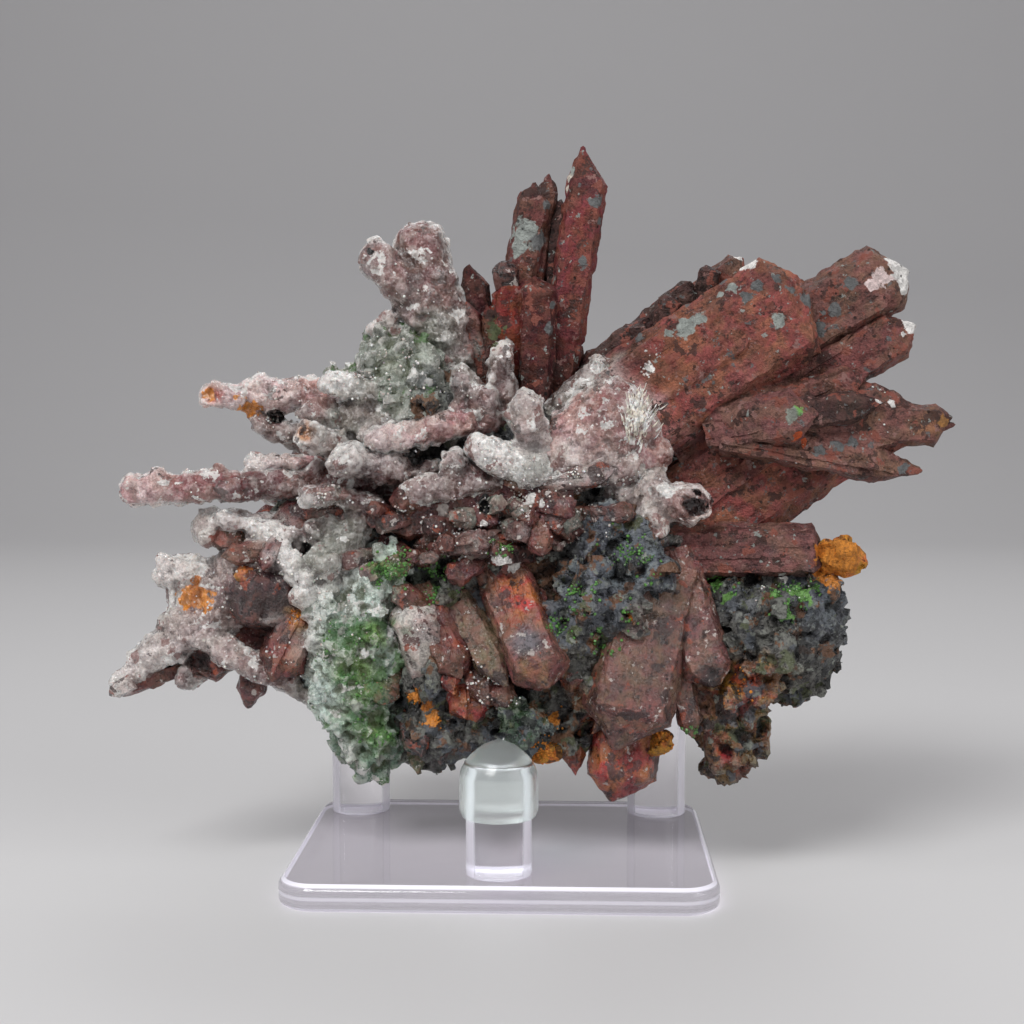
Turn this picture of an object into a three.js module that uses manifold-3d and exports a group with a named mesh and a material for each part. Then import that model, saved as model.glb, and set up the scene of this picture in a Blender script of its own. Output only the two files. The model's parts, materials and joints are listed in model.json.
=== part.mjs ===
// A quartz cluster resting on a clear three-peg stand.
// Millimetres, +Z up, +X to the right and +Y to the back. The origin is the centre of the plate's underside.
import * as THREE from "three";
import { mergeVertices } from "three/addons/utils/BufferGeometryUtils.js";
import Module from "manifold-3d";

const wasm = await Module();
wasm.setup();

// ---- Driving dimensions -------------------------------------------------------------------------------------

const PLATE = { width: 80, depth: 62, thickness: 5, cornerRadius: 7, bevel: 1.1 };
const PEG = { radius: 6, sides: 16, edge: 0.5 };
const CAP = { wall: 1.1, bore: 10, clearance: 0.3, sides: 16 };
const FRONT_PEG = { x: 0, y: -22, capTop: 29.8 };
const REAR_PEGS = { x: 31, y: 22, capTop: 42 };
const SEAT_GAP = 0.3; // left between the cluster and each cap that carries it

// The cluster is laid out on a front elevation drawn in perspective. A place is [across, up, depth]: the line of
// sight from VIEWPOINT through (across, up) on the plane y = 0, met at the depth y.
const VIEWPOINT = new THREE.Vector3(12.7, -302.7, 91);
const BACKWARDS = new THREE.Vector3(0, 1, 0);

// A crystal is a six-sided prism with a six-faced point. Its row gives the root, the tip, the width across the
// front, the thickness, the length of the point, and how far the apex leans to one side, as a share of half the
// width. The lean is to the left of a crystal that points up.
const BLADES = {
  broadFront: [[14, 82.5, 2], [59, 111.6, -5], 22, 9, 5, 0.25],
  whiteTipped: [[28, 87.5, 8], [76.6, 116.8, 2], 14.5, 9, 4.7, -0.2],
  lowerSister: [[34.5, 78.6, 6], [78.2, 105.9, 1], 10.5, 8, 4.5, -0.15],
  broadUnder: [[20, 56, 5], [68, 90.7, 4], 22, 8, 5, 0],
  longPoint: [[42, 88, 0], [87.2, 86.3, -6], 15, 8, 16, 0],
  underPoint: [[42, 84.5, -2], [80.8, 77, -6], 7.5, 7, 9, 0.1],
  chevronUpper: [[46, 88, -2], [70.5, 95.6, -5], 7, 6, 5, 0.2],
  chevronLower: [[46, 87, -5], [73, 90.5, -9], 6.5, 5, 6, 0],
  greyFaced: [[40, 86, 0], [60.5, 88.5, -10], 10.5, 8, 5, 0],
  lowSlab: [[27, 61, -1], [64, 62.4, -3], 9, 9, 4, 0],
  creamTipped: [[18, 96.5, 8], [48.8, 117.4, 5], 6.5, 6, 3, 0],
  toothed: [[17, 93.5, 6], [36.8, 111, 4], 5, 6, 3, 0.4],
  tallRight: [[7.8, 88, 5], [17.6, 139.2, 2], 8.2, 7, 8, 0.55],
  tallLeft: [[2, 88, 6], [8.7, 134.2, 4], 4.6, 5, 4, 0],
  tallShoulder: [[1, 88, 5], [7.2, 132.6, 2], 6.2, 6, 4, 0.3],
  gabled: [[5.5, 84, 1], [6.8, 115, -2], 7.5, 6, 3, 0.2],
  orangeSide: [[0, 86, 3], [-0.4, 111.8, 1], 7, 6, 4, 0],
  slimRed: [[-1, 84, 3], [-7, 110, 0], 3.8, 4, 3, 0.1],
  redLeaf: [[-3.5, 103, 5], [-6.6, 117, 3], 4.6, 3.4, 6, 0.1],
  darkFoot: [[10, 88, 7], [15.2, 101.5, 7], 3.6, 3.4, 3, 0],
};
const STOUT_POINTS = {
  orangeFaced: [[-1, 60, -3], [8.6, 34.8, -19], 11.5, 9, 3.4, 0],
  amber: [[-10, 54, -4], [0.8, 34.6, -17], 7, 6, 6, 0],
  redSlope: [[-16, 54, -6], [-8, 36.5, -15], 7.5, 6, 3, 0],
  redFoot: [[-7, 40, -6], [-5.2, 27.5, -12], 8, 6, 3, 0],
  bigBrown: [[30, 58, -4], [22.4, 22.4, -17], 17.5, 13, 7, -0.1],
  duskyTipped: [[32, 61, -4], [41.2, 34.8, -13], 10, 8, 4, 0],
  pinkStub: [[33, 42, -8], [37, 25.4, -12], 5, 5, 3, 0],
  lowestTip: [[24, 31, -4], [22.6, 12.2, -9], 13.5, 11, 4.5, -0.15],
  smallRed: [[13, 28, -6], [14.1, 17.4, -10], 4.8, 4, 4, 0],
  lyingUpper: [[10, 75, -5], [-23.5, 66, -12], 7, 6, 4, 0],
  lyingMiddle: [[12, 70, -5], [-18, 62.5, -12], 5.5, 5, 3, 0],
  lyingLower: [[14, 67, -5], [-9.5, 61.5, -14], 5.5, 5, 3, 0],
  standingBlock: [[7, 75, -6], [6.6, 59.4, -15], 6.4, 5, 2, 0],
  lyingRight: [[-4, 73, -7], [22, 77.5, -12], 5, 5, 3, 0],
  leftLying: [[-22, 70, -2], [-46, 68, -8], 6.5, 6, 4, 0],
  mauveFaced: [[-36, 51, 1], [-55, 54, -8], 14, 10, 4, 0],
  rustyFaced: [[-38, 52, -2], [-45.5, 35.6, -10], 9.5, 8, 4, 0],
  hangingRed: [[-47, 46, -3], [-50.4, 30, -7], 6, 5, 4, 0],
  hollowBrown: [[-48, 46, -2], [-61.5, 37.8, -9], 8.5, 7, 3, 0],
  glassTipped: [[-58, 40, -4], [-78.4, 33.4, -9], 3.4, 3, 2, 0],
  brownStub: [[-43, 60, -5], [-50.5, 58, -12], 5.5, 5, 3, 0],
};
const BACK_CRYSTALS = {
  backRiser: [[14, 84, 18], [31, 102, 42], 9, 8, 7, 0],
  backRiserTwin: [[8, 84, 18], [6.5, 122, 34], 7, 6, 6, 0.3],
  backLeaner: [[-6, 84, 18], [-16, 112, 40], 7, 7, 7, 0],
  backRight: [[34, 78, 18], [66, 100, 38], 12, 9, 8, 0],
  backRightTwin: [[34, 74, 18], [64, 84, 40], 9, 8, 7, -0.3],
  backRightLow: [[36, 62, 16], [57, 60, 34], 9, 8, 5, 0],
  backMiddle: [[6, 70, 24], [12, 80, 52], 12, 10, 8, 0.2],
  backMiddleLow: [[2, 62, 24], [-4, 60, 48], 10, 8, 6, 0],
  backLeft: [[-20, 78, 16], [-30, 84, 42], 8, 7, 6, 0],
  backLeftLow: [[-28, 66, 16], [-50, 60, 30], 8, 7, 5, 0],
};
// A finger is a crystal under a rounded crust: root, tip, the radius at the root and at the tip.
const FINGERS = {
  thick: [[-8, 92, 4], [-17.4, 124.4, 0], 6, 5.9],
  thickFork: [[-11, 104, 2], [-26, 120.4, -3], 3.9, 3.6],
  upperTube: [[-27, 92, 0], [-50, 92.2, -6], 3.7, 3.4],
  upperKnob: [[-44, 91.4, -4], [-58.4, 92, -8], 2.1, 2.8],
  underTube: [[-34, 81.6, 0], [-48.8, 87.2, -5], 2.6, 2.3],
  ringed: [[-29, 80.5, -3], [-39, 84.8, -14], 2.7, 2.8],
  whiteBall: [[-15, 76.8, -5], [-33, 79.8, -14], 3.1, 3.4],
  pink: [[-1, 88.4, -3], [-26.2, 82.8, -12], 3.1, 2.7],
  roundTop: [[7, 78, -6], [3.2, 92.4, -12], 3.4, 3.6],
  upright: [[0.6, 86, -2], [-0.8, 101, -6], 3, 2.6],
  mauveUpright: [[-4.5, 82, -2], [-8.6, 96.6, -6], 3.6, 2.9],
  long: [[-20, 75.6, -3], [-74.6, 73.5, -12], 3, 3],
  aboveLong: [[-30, 79.6, -2], [-50, 78.5, -8], 2.1, 1.8],
  sparkling: [[-25, 71.2, -8], [-40, 73.1, -14], 2.1, 2.1],
  greyRound: [[-4, 77, -5], [-13.8, 80, -12], 2.9, 2.8],
  paleStub: [[-44, 65.5, -4], [-60.2, 66, -8], 4.2, 3.6],
  whiteHook: [[-46.5, 64.2, -9], [-37.6, 55.4, -12], 2.2, 2.3],
  sheath: [[-46, 59, -4], [-76.6, 34.8, -9], 9, 2.2],
  ribbonLower: [[-50, 40, -9], [-37, 32.6, -8], 2.6, 2.2],
  paleBlock: [[-14, 40, -7], [-19.8, 55.4, -14], 5, 5.2],
  brokenTube: [[22, 72, -3], [39.4, 70.9, -12], 3.6, 3.6],
  brokenCrust: [[28, 78, -4], [28.6, 64, -11], 3.6, 3],
  topKnob: [[-20, 100, -1], [-23.4, 109, -3], 2.6, 2],
  whiteLedge: [[-22, 92.6, -5], [-35, 94.4, -10], 3.2, 2.4],
  whiteCrust: [[5, 78, -9], [-7, 82.2, -13], 4.4, 2.6],
  backThin: [[-26, 71, 14], [-47, 72.6, 32], 3, 2.5],
  backThinTwin: [[-20, 84, 14], [-26, 98.5, 36], 4, 3.4],
};
// A lump of the rock that the crystals grew from: its centre, and its radii across, deep and up.
const CORE = {
  heart: [[4, 60, 6], [40, 17, 20]],
  upperHeart: [[4, 82, 7], [21, 14, 13]],
  rightHeart: [[38, 70, 6], [19, 12, 13]],
  leftHeart: [[-32, 66, 4], [14, 11, 13]],
  backHeart: [[4, 68, 18], [28, 15, 19]],
};
const LUMPS = {
  rightRock: [[50, 46, 0], [14.5, 13, 12]],
  rightRockEdge: [[58.5, 50, 0], [7.5, 9, 8.5]],
  rightRockFoot: [[43.8, 28, -2], [7.2, 8, 9.6]],
  rightRockNeck: [[40, 37, 0], [7, 9, 8]],
  greenCrust: [[-28.5, 44, -5], [11, 12, 19]],
  greenFoot: [[-26, 26, -4], [8, 9, 7.6]],
  sheathLobe: [[-59.5, 53, -5], [6.3, 6, 6]],
  darkFoot: [[-15, 29, -4], [8, 9, 9.4]],
  middleRock: [[15, 44, -3], [17, 13, 16]],
  middleFoot: [[10, 28, -5], [7, 8, 6.6]],
  greenDruse: [[-20, 97, -2], [8.6, 8, 8.6]],
  darkDruse: [[-15, 90, -3], [7, 7, 7]],
  darkKnob: [[0.7, 115.6, 1], [2.7, 2.6, 2.6]],
  ochreEnd: [[64.8, 60.4, -3], [4.4, 3.6, 3.4]],
  ochreLow: [[7.6, 22.4, -12], [3.5, 3.2, 2.5]],
  greenGlass: [[4, 27.2, -14.4], [4.6, 4.6, 4.6]],
  rightSeat: [[29.5, 53, 20], [11, 12, 9.5]],
  leftSeat: [[-28, 53.5, 20], [11, 12, 9.5]],
};
const FLAT_SHARE = 0.68; // of a crystal's width, taken by its broad face
const ROOT_SWELL = 1.06; // a crystal's root against its shoulder
const FINGER_SIDES = 6;
const FINGER_SWELL_PITCH = 13;
const LUMP_ROUGHNESS = 0.13; // of a lump's radius
const FINGER_ROUGHNESS = 0.5; // millimetres
const LARGE_LUMP = 12; // lumps that reach further than this get finer facets
const SMALL_LUMP = 4.5; // lumps that reach less far than this get coarser ones

// ---- Geometry helpers ---------------------------------------------------------------------------------------

function place([across, up, depth]) {
  const onPlane = new THREE.Vector3(across, 0, up);
  return VIEWPOINT.clone().lerp(onPlane, (depth - VIEWPOINT.y) / -VIEWPOINT.y);
}

// A closed geometry as a manifold-3d solid, with its doubled vertices merged and its flat triangles dropped.
function solidOf(geometry) {
  const bare = new THREE.BufferGeometry().setAttribute("position", geometry.getAttribute("position"));
  if (geometry.index) bare.setIndex(geometry.index);
  const merged = mergeVertices(bare, 1e-3);
  const corners = [];
  for (let i = 0; i < merged.index.count; i += 3) {
    const [a, b, c] = [0, 1, 2].map((k) => merged.index.getX(i + k));
    if (a !== b && b !== c && a !== c) corners.push(a, b, c);
  }
  const vertProperties = merged.getAttribute("position").array;
  return new wasm.Manifold(new wasm.Mesh({ numProp: 3, vertProperties, triVerts: new Uint32Array(corners) }));
}

function geometryOf(solid) {
  const { vertProperties, triVerts } = solid.getMesh();
  const geometry = new THREE.BufferGeometry();
  geometry.setAttribute("position", new THREE.BufferAttribute(vertProperties, 3));
  geometry.setIndex(new THREE.BufferAttribute(triVerts, 1));
  return geometry;
}

function lathe(profile, sides) {
  return new THREE.LatheGeometry(profile.map(([radius, height]) => new THREE.Vector2(radius, height)), sides);
}

// Moves every vertex by what shift(vertex) gives.
function reshape(geometry, shift) {
  const position = geometry.getAttribute("position");
  const vertex = new THREE.Vector3();
  for (let i = 0; i < position.count; i++) {
    vertex.fromBufferAttribute(position, i);
    vertex.add(shift(vertex));
    position.setXYZ(i, vertex.x, vertex.y, vertex.z);
  }
  return geometry;
}

// A steady wave through space, from -1 to 1, that roughens the natural surfaces the same way each time.
function wave({ x, y, z }) {
  return (Math.sin(0.9 * x + 1.3 * z) + Math.sin(1.1 * y - 0.7 * x + 2) + Math.sin(1.7 * z + 0.8 * y + 4)) / 3;
}

// Stands a geometry that was made along +Y, with its broad face to ±X, on root and points it at tip.
function aim(geometry, root, tip) {
  const along = tip.clone().sub(root).normalize();
  const across = along.clone().cross(BACKWARDS).normalize();
  const through = along.clone().cross(across);
  const basis = new THREE.Matrix4().makeBasis(through, along, across).setPosition(root);
  return geometry.applyMatrix4(basis);
}

// ---- The cluster --------------------------------------------------------------------------------------------

function crystal([rootPlace, tipPlace, width, thickness, point, lean]) {
  const root = place(rootPlace);
  const tip = place(tipPlace);
  const length = root.distanceTo(tip);
  const shoulder = length - point;
  const prism = lathe([[0, 0], [ROOT_SWELL, 0], [1, shoulder], [0, length]], 6);
  const apexShift = (lean * width) / 2;
  reshape(prism, ({ x, y, z }) => {
    const flatZ = Math.abs(z) < 0.75 ? z * 2 * FLAT_SHARE : z;
    const shiftZ = y > shoulder + point / 2 ? apexShift : 0;
    return new THREE.Vector3((x / 0.866) * (thickness / 2) - x, 0, flatZ * (width / 2) + shiftZ - z);
  });
  return solidOf(aim(prism, root, tip));
}

function finger([rootPlace, tipPlace, rootRadius, tipRadius]) {
  const root = place(rootPlace);
  const tip = place(tipPlace);
  const length = root.distanceTo(tip);
  const straight = length - tipRadius;
  const profile = [[0, 0], [rootRadius, 0]];
  const swells = Math.max(1, Math.round(length / FINGER_SWELL_PITCH));
  for (let i = 1; i <= swells; i++) {
    const share = i / swells;
    const swell = i % 2 ? 0.94 : 1.04;
    profile.push([(rootRadius + (tipRadius - rootRadius) * share) * swell, straight * share]);
  }
  profile.push([tipRadius * 0.72, length - tipRadius * 0.3], [0, length]);
  const tube = aim(lathe(profile, FINGER_SIDES), root, tip);
  reshape(tube, (v) => new THREE.Vector3(wave(v), 0, wave({ x: v.z, y: v.x, z: v.y })).multiplyScalar(FINGER_ROUGHNESS));
  return solidOf(tube);
}

function lumpDetail(radii) {
  const reach = Math.max(...radii);
  if (reach > LARGE_LUMP) return 2;
  return reach > SMALL_LUMP ? 1 : 0;
}

function lump([centre, radii], detail) {
  const middle = place(centre);
  const size = new THREE.Vector3(...radii);
  const ball = new THREE.IcosahedronGeometry(1, detail);
  ball.scale(size.x, size.y, size.z).translate(middle.x, middle.y, middle.z);
  reshape(ball, (v) => v.clone().sub(middle).multiplyScalar(LUMP_ROUGHNESS * wave(v)));
  return solidOf(ball);
}

// ---- The stand ----------------------------------------------------------------------------------------------

function plateGeometry() {
  const { width, depth, thickness, cornerRadius, bevel } = PLATE;
  const x = width / 2 - bevel;
  const y = depth / 2 - bevel;
  const r = cornerRadius - bevel;
  const outline = new THREE.Shape();
  outline.absarc(x - r, y - r, r, 0, Math.PI / 2);
  outline.absarc(-x + r, y - r, r, Math.PI / 2, Math.PI);
  outline.absarc(-x + r, -y + r, r, Math.PI, 1.5 * Math.PI);
  outline.absarc(x - r, -y + r, r, 1.5 * Math.PI, 2 * Math.PI);
  const slab = new THREE.ExtrudeGeometry(outline, {
    depth: thickness - 2 * bevel,
    bevelThickness: bevel,
    bevelSize: bevel,
    bevelSegments: 1,
    curveSegments: 3,
  });
  return slab.translate(0, 0, bevel);
}

// The cap's outside, from its rim up to its blunt top, as [radius, height above the rim], made larger by grow.
function capOutside(grow = 0) {
  const outer = PEG.radius + CAP.wall;
  return [
    [outer - 0.5 + grow, -grow],
    [outer + 0.2 + grow, 1.2],
    [outer + grow, 8.8],
    [5.4 + grow, 11.4 + grow],
    [2.8 + grow / 2, 13.4 + grow],
    [0, 14.1 + grow],
  ];
}
const CAP_HEIGHT = capOutside().at(-1)[1];

function capGeometry() {
  const bore = PEG.radius + CAP.clearance;
  return lathe([[0, CAP.bore], [bore, CAP.bore], [bore, 0], ...capOutside()], CAP.sides).rotateX(Math.PI / 2);
}

function pegGeometry(height) {
  const { radius, edge, sides } = PEG;
  const profile = [[0, 0], [radius, 0], [radius, height - edge], [radius - edge, height], [0, height]];
  return lathe(profile, sides).rotateX(Math.PI / 2);
}

// ---- Assembly -----------------------------------------------------------------------------------------------

const acrylic = new THREE.MeshStandardMaterial({ color: 0xe9e6f2, roughness: 0.06, transparent: true, opacity: 0.35 });
const silicone = new THREE.MeshStandardMaterial({ color: 0xe4ebe8, roughness: 0.45, transparent: true, opacity: 0.6 });
const redQuartz = new THREE.MeshStandardMaterial({ color: 0x6e3a30, roughness: 0.6 });

function named(name, geometry, material, [x, y, z] = [0, 0, 0]) {
  const mesh = new THREE.Mesh(geometry, material);
  mesh.name = name;
  mesh.position.set(x, y, z);
  return mesh;
}

const PEGS = [
  { name: "front", x: FRONT_PEG.x, y: FRONT_PEG.y, capTop: FRONT_PEG.capTop },
  { name: "rear_left", x: -REAR_PEGS.x, y: REAR_PEGS.y, capTop: REAR_PEGS.capTop },
  { name: "rear_right", x: REAR_PEGS.x, y: REAR_PEGS.y, capTop: REAR_PEGS.capTop },
];

// The outer skin alone, without the hollows that are sealed inside it.
function outerSkin(solid) {
  return solid.decompose().sort((a, b) => b.volume() - a.volume())[0];
}

// Everything that grew together is one solid, cut back where the three caps carry it.
function clusterGeometry() {
  const crystals = [BLADES, STOUT_POINTS, BACK_CRYSTALS].flatMap((group) => Object.values(group).map(crystal));
  const fingers = Object.values(FINGERS).map(finger);
  const core = Object.values(CORE).map((row) => lump(row, 1));
  const lumps = Object.values(LUMPS).map(([centre, radii]) => lump([centre, radii], lumpDetail(radii)));
  const grown = [...crystals, ...fingers, ...core, ...lumps];
  let cluster = wasm.Manifold.union(grown);
  for (const { x, y, capTop } of PEGS) {
    const seat = lathe([[0, -SEAT_GAP], ...capOutside(SEAT_GAP)], CAP.sides).rotateX(Math.PI / 2);
    cluster = cluster.subtract(solidOf(seat.translate(x, y, capTop - CAP_HEIGHT)));
  }
  return geometryOf(outerSkin(cluster));
}

const stand = new THREE.Group();
stand.add(named("base_plate", plateGeometry(), acrylic));
for (const { name, x, y, capTop } of PEGS) {
  const rim = capTop - CAP_HEIGHT;
  const pegTop = rim + CAP.bore - CAP.clearance;
  stand.add(named(`${name}_peg`, pegGeometry(pegTop - PLATE.thickness), acrylic, [x, y, PLATE.thickness]));
  stand.add(named(`${name}_cap`, capGeometry(), silicone, [x, y, rim]));
}

const part = new THREE.Group();
part.add(stand, named("quartz_cluster", clusterGeometry(), redQuartz));

export default part;
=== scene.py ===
"""A quartz cluster resting on a clear three-peg stand, dressed for rendering.

Lengths in the tables are millimetres on the object; meshes are in metres, +Z up, +X right, +Y to the back.
"""
import json
import math
from statistics import NormalDist

import bmesh
import bpy
import numpy as np
from bpy.props import FloatProperty, FloatVectorProperty, PointerProperty
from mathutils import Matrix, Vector
from mathutils.bvhtree import BVHTree

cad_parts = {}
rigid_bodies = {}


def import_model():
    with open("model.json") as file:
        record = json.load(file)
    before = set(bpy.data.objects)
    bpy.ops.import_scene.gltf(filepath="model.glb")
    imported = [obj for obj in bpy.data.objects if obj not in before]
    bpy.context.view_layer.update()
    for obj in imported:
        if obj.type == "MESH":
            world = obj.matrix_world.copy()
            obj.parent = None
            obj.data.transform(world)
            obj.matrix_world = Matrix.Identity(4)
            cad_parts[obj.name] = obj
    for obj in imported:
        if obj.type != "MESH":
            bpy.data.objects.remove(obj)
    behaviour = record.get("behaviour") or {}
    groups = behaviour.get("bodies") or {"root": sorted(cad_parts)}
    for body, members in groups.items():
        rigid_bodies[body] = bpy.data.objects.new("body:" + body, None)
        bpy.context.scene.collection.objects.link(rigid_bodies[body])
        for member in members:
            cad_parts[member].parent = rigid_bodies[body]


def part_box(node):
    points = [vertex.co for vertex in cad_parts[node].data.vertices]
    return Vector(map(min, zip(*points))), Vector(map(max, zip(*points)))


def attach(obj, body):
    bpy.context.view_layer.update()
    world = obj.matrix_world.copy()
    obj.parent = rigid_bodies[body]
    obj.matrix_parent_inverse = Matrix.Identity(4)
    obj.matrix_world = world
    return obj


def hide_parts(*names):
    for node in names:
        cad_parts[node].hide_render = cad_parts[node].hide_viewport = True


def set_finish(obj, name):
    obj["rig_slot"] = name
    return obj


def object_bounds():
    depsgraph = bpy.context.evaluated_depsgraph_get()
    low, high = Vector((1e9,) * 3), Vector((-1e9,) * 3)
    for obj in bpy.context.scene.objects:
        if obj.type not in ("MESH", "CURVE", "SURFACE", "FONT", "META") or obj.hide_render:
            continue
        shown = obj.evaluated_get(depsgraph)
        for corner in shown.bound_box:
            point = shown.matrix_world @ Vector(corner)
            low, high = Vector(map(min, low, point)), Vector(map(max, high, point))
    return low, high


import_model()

bl_info = {
    "name": "Quartz cluster on a peg stand",
    "version": (1, 0, 0),
    "blender": (4, 5, 0),
    "location": "View3D > Sidebar > Quartz",
    "description": "Builds a red quartz cluster with coated crystals, crust and rock on a clear stand",
    "category": "Add Mesh",
}

MM = 0.001
CLUSTER = "quartz_cluster"
FRAME_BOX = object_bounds()


# ---- Where things are ----

# The cluster is laid out on a front elevation drawn in perspective. A place is (across, up, depth): the
# line of sight from VIEWPOINT through (across, up) on the plane y = 0, met at the depth y. All in
# millimetres.
VIEWPOINT = np.array((12.7, -302.7, 91.0))
BACKWARDS = np.array((0.0, 1.0, 0.0))


def place(across, up, depth):
    on_plane = np.array((across, 0.0, up))
    return VIEWPOINT + (on_plane - VIEWPOINT) * (depth - VIEWPOINT[1]) / -VIEWPOINT[1]


# ---- Colours of the minerals, as seen in daylight ----

PALETTE = {
    "rust": (112, 70, 62), "rustRed": (132, 76, 64), "rustBrown": (110, 76, 66), "rustDark": (62, 42, 38),
    "orange": (184, 84, 46), "orangeRed": (144, 70, 48), "wine": (86, 48, 45), "darkWine": (48, 30, 29),
    "mauveRed": (110, 74, 68), "smooth": (98, 69, 58), "smoky": (108, 92, 74), "greyMauve": (120, 104, 100),
    "mauve": (142, 123, 119), "pink": (190, 138, 133), "pale": (184, 175, 169), "white": (222, 219, 215),
    "cream": (208, 198, 184), "pinkWhite": (210, 190, 187), "blushed": (136, 101, 95), "rock": (82, 81, 77),
    # pitShade is no mineral's colour: it is near-black painted shade for pits, hollows and cavities.
    "rockBlue": (87, 92, 99), "rockDark": (34, 35, 36), "rockBrown": (112, 74, 46), "pitShade": (9, 8, 8),
    "ochre": (206, 132, 54), "amber": (176, 102, 30), "ochrePale": (152, 108, 62), "green": (68, 104, 52),
    "deepGreen": (44, 68, 44), "paleGreen": (108, 134, 110), "frost": (176, 190, 180),
    "brightGreen": (88, 138, 66), "olive": (84, 90, 62), "leaf": (112, 158, 84),
    "druseGrey": (136, 140, 130), "greyBlue": (98, 99, 99), "plum": (66, 46, 46), "dusk": (84, 72, 69),
    "paleGrey": (142, 147, 142), "brown": (76, 48, 36), "brownRed": (88, 48, 38), "deepRust": (110, 52, 48),
    "deepBrown": (92, 54, 46), "ember": (98, 32, 20), "emberDark": (82, 33, 29), "darkRed": (60, 19, 16),
}


def linear(name):
    """The scene-linear colour of a palette name."""
    values = np.array(PALETTE[name]) / 255.0
    return np.where(values <= 0.04045, values / 12.92, ((values + 0.055) / 1.055) ** 2.4)


# ---- Features: crystals ----

# A crystal: root, tip, width across the front, thickness, length of the point, lean of the apex, colour,
# and how many thinner crystals grew along it.
RED_BLADES = {
    "broadFront": ((14, 82.5, 2), (59, 111.6, -5), 22, 9, 5, 0.25, "rustRed", 5),
    "whiteTipped": ((28, 87.5, 8), (76.6, 116.8, 2), 14.5, 9, 4.7, -0.2, "rustBrown", 4),
    "lowerSister": ((34.5, 78.6, 6), (78.2, 105.9, 1), 10.5, 8, 4.5, -0.15, "rust", 4),
    "broadUnder": ((20, 56, 5), (68, 90.7, 4), 22, 8, 5, 0, "rustRed", 3),
    "longPoint": ((42, 88, 0), (87.2, 86.3, -6), 15, 8, 16, 0, "rustBrown", 2),
    "longPointEnd": ((52, 87, 0), (85.8, 86, -6), 8.4, 7, 3.4, 0.45, "rustBrown", 2),
    "underPoint": ((42, 84.5, -2), (80.8, 77, -6), 7.5, 7, 9, 0.1, "rustBrown", 3),
    "chevronUpper": ((46, 88, -2), (70.5, 95.6, -5), 7, 6, 5, 0.2, "rust", 3),
    "chevronLower": ((46, 87, -5), (73, 90.5, -9), 6.5, 5, 6, 0, "rustDark", 2),
    "greyFaced": ((40, 86, 0), (60.5, 88.5, -10), 10.5, 8, 5, 0, "mauveRed", 2),
    "lowSlab": ((27, 62, -1), (63.4, 62.2, -3), 11, 9, 4, -0.3, "mauveRed", 4),
    "creamTipped": ((23, 99.6, 8), (46.2, 117.4, 5), 6.5, 6, 2, 0.3, "rustBrown", 1),
    "creamChip": ((38, 108, 3), (39.6, 116.6, 1), 4.4, 4, 1, 0.5, "rustDark", 0),
    "toothed": ((17, 95, 6), (37, 112.6, 4), 6.4, 6, 1.6, 0.5, "rustDark", 1),
    "toothedChip": ((30, 102, 2), (32, 110.8, 0), 4.6, 4, 1, 0.5, "rustDark", 1),
    "toothedChipLow": ((26, 98, 2), (25.6, 106, 1), 4.4, 4, 1, -0.4, "rustDark", 0),
    "darkLedge": ((14, 93, 5), (26.4, 104.6, 3), 6, 6, 1.6, 0.4, "rustDark", 1),
    "smallTooth": ((13, 92, 7), (19.2, 101.8, 6), 4.5, 4, 3, 0, "wine", 0),
    "tallRight": ((8.8, 88, 5), (17.2, 139.2, 2), 8.4, 7, 7.2, 0.55, "deepRust", 0),
    "tallLeft": ((2, 88, 6), (8.7, 134.2, 4), 5, 5, 4, 0, "deepBrown", 0),
    "tallShoulder": ((-2.4, 88, 5), (6.8, 132.6, 2), 7.2, 6, 4, 0.3, "deepBrown", 1),
    "gabled": ((5.5, 84, 1), (6.8, 115, -2), 7.5, 6, 3, 0.2, "emberDark", 1),
    "orangeSide": ((0, 86, 3), (-0.4, 111.8, 1), 7, 6, 4, 0, "ember", 1),
    "orangeFill": ((2.6, 86, 2), (1.2, 114.4, 0), 8, 6.4, 3, 0.2, "ember", 1),
    "orangeStep": ((-1, 90, 2), (-2.6, 109.4, 0), 4.2, 4.4, 3, 0.4, "brownRed", 1),
    "tallSeam": ((8.6, 88, 6), (10.9, 129.4, 4), 5, 4.4, 4, 0, "darkWine", 0),
    "slimRed": ((-1, 84, 3), (-7, 110, 0), 3.8, 4, 3, 0.1, "emberDark", 0),
    "redLeaf": ((-3.2, 102, 4), (-6.7, 117, 2), 5.8, 4.6, 4, 0.1, "darkRed", 0),
    "darkFoot": ((10, 88, 7), (15.2, 101.5, 7), 3.6, 3.4, 3, 0, "wine", 0),
    "backRiser": ((14, 84, 18), (31, 102, 42), 9, 8, 7, 0, "rustRed", 3),
    "backRiserTwin": ((8, 84, 18), (6.5, 122, 34), 7, 6, 6, 0.3, "rust", 3),
    "backLeaner": ((-6, 84, 18), (-16, 112, 40), 7, 7, 7, 0, "rustBrown", 2),
    "backRight": ((34, 78, 18), (66, 100, 38), 12, 9, 8, 0, "rustRed", 4),
    "backRightTwin": ((34, 74, 18), (64, 84, 40), 9, 8, 7, -0.3, "rust", 3),
    "backRightLow": ((36, 62, 16), (57, 60, 34), 9, 8, 5, 0, "rustDark", 2),
    "backMiddle": ((6, 70, 24), (12, 80, 52), 12, 10, 8, 0.2, "rustRed", 3),
    "backMiddleLow": ((2, 62, 24), (-4, 60, 48), 10, 8, 6, 0, "rust", 3),
    "backLeft": ((-20, 78, 16), (-30, 84, 42), 8, 7, 6, 0, "mauveRed", 2),
    "backLeftLow": ((-28, 66, 16), (-50, 60, 30), 8, 7, 5, 0, "mauveRed", 2),
}
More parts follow.
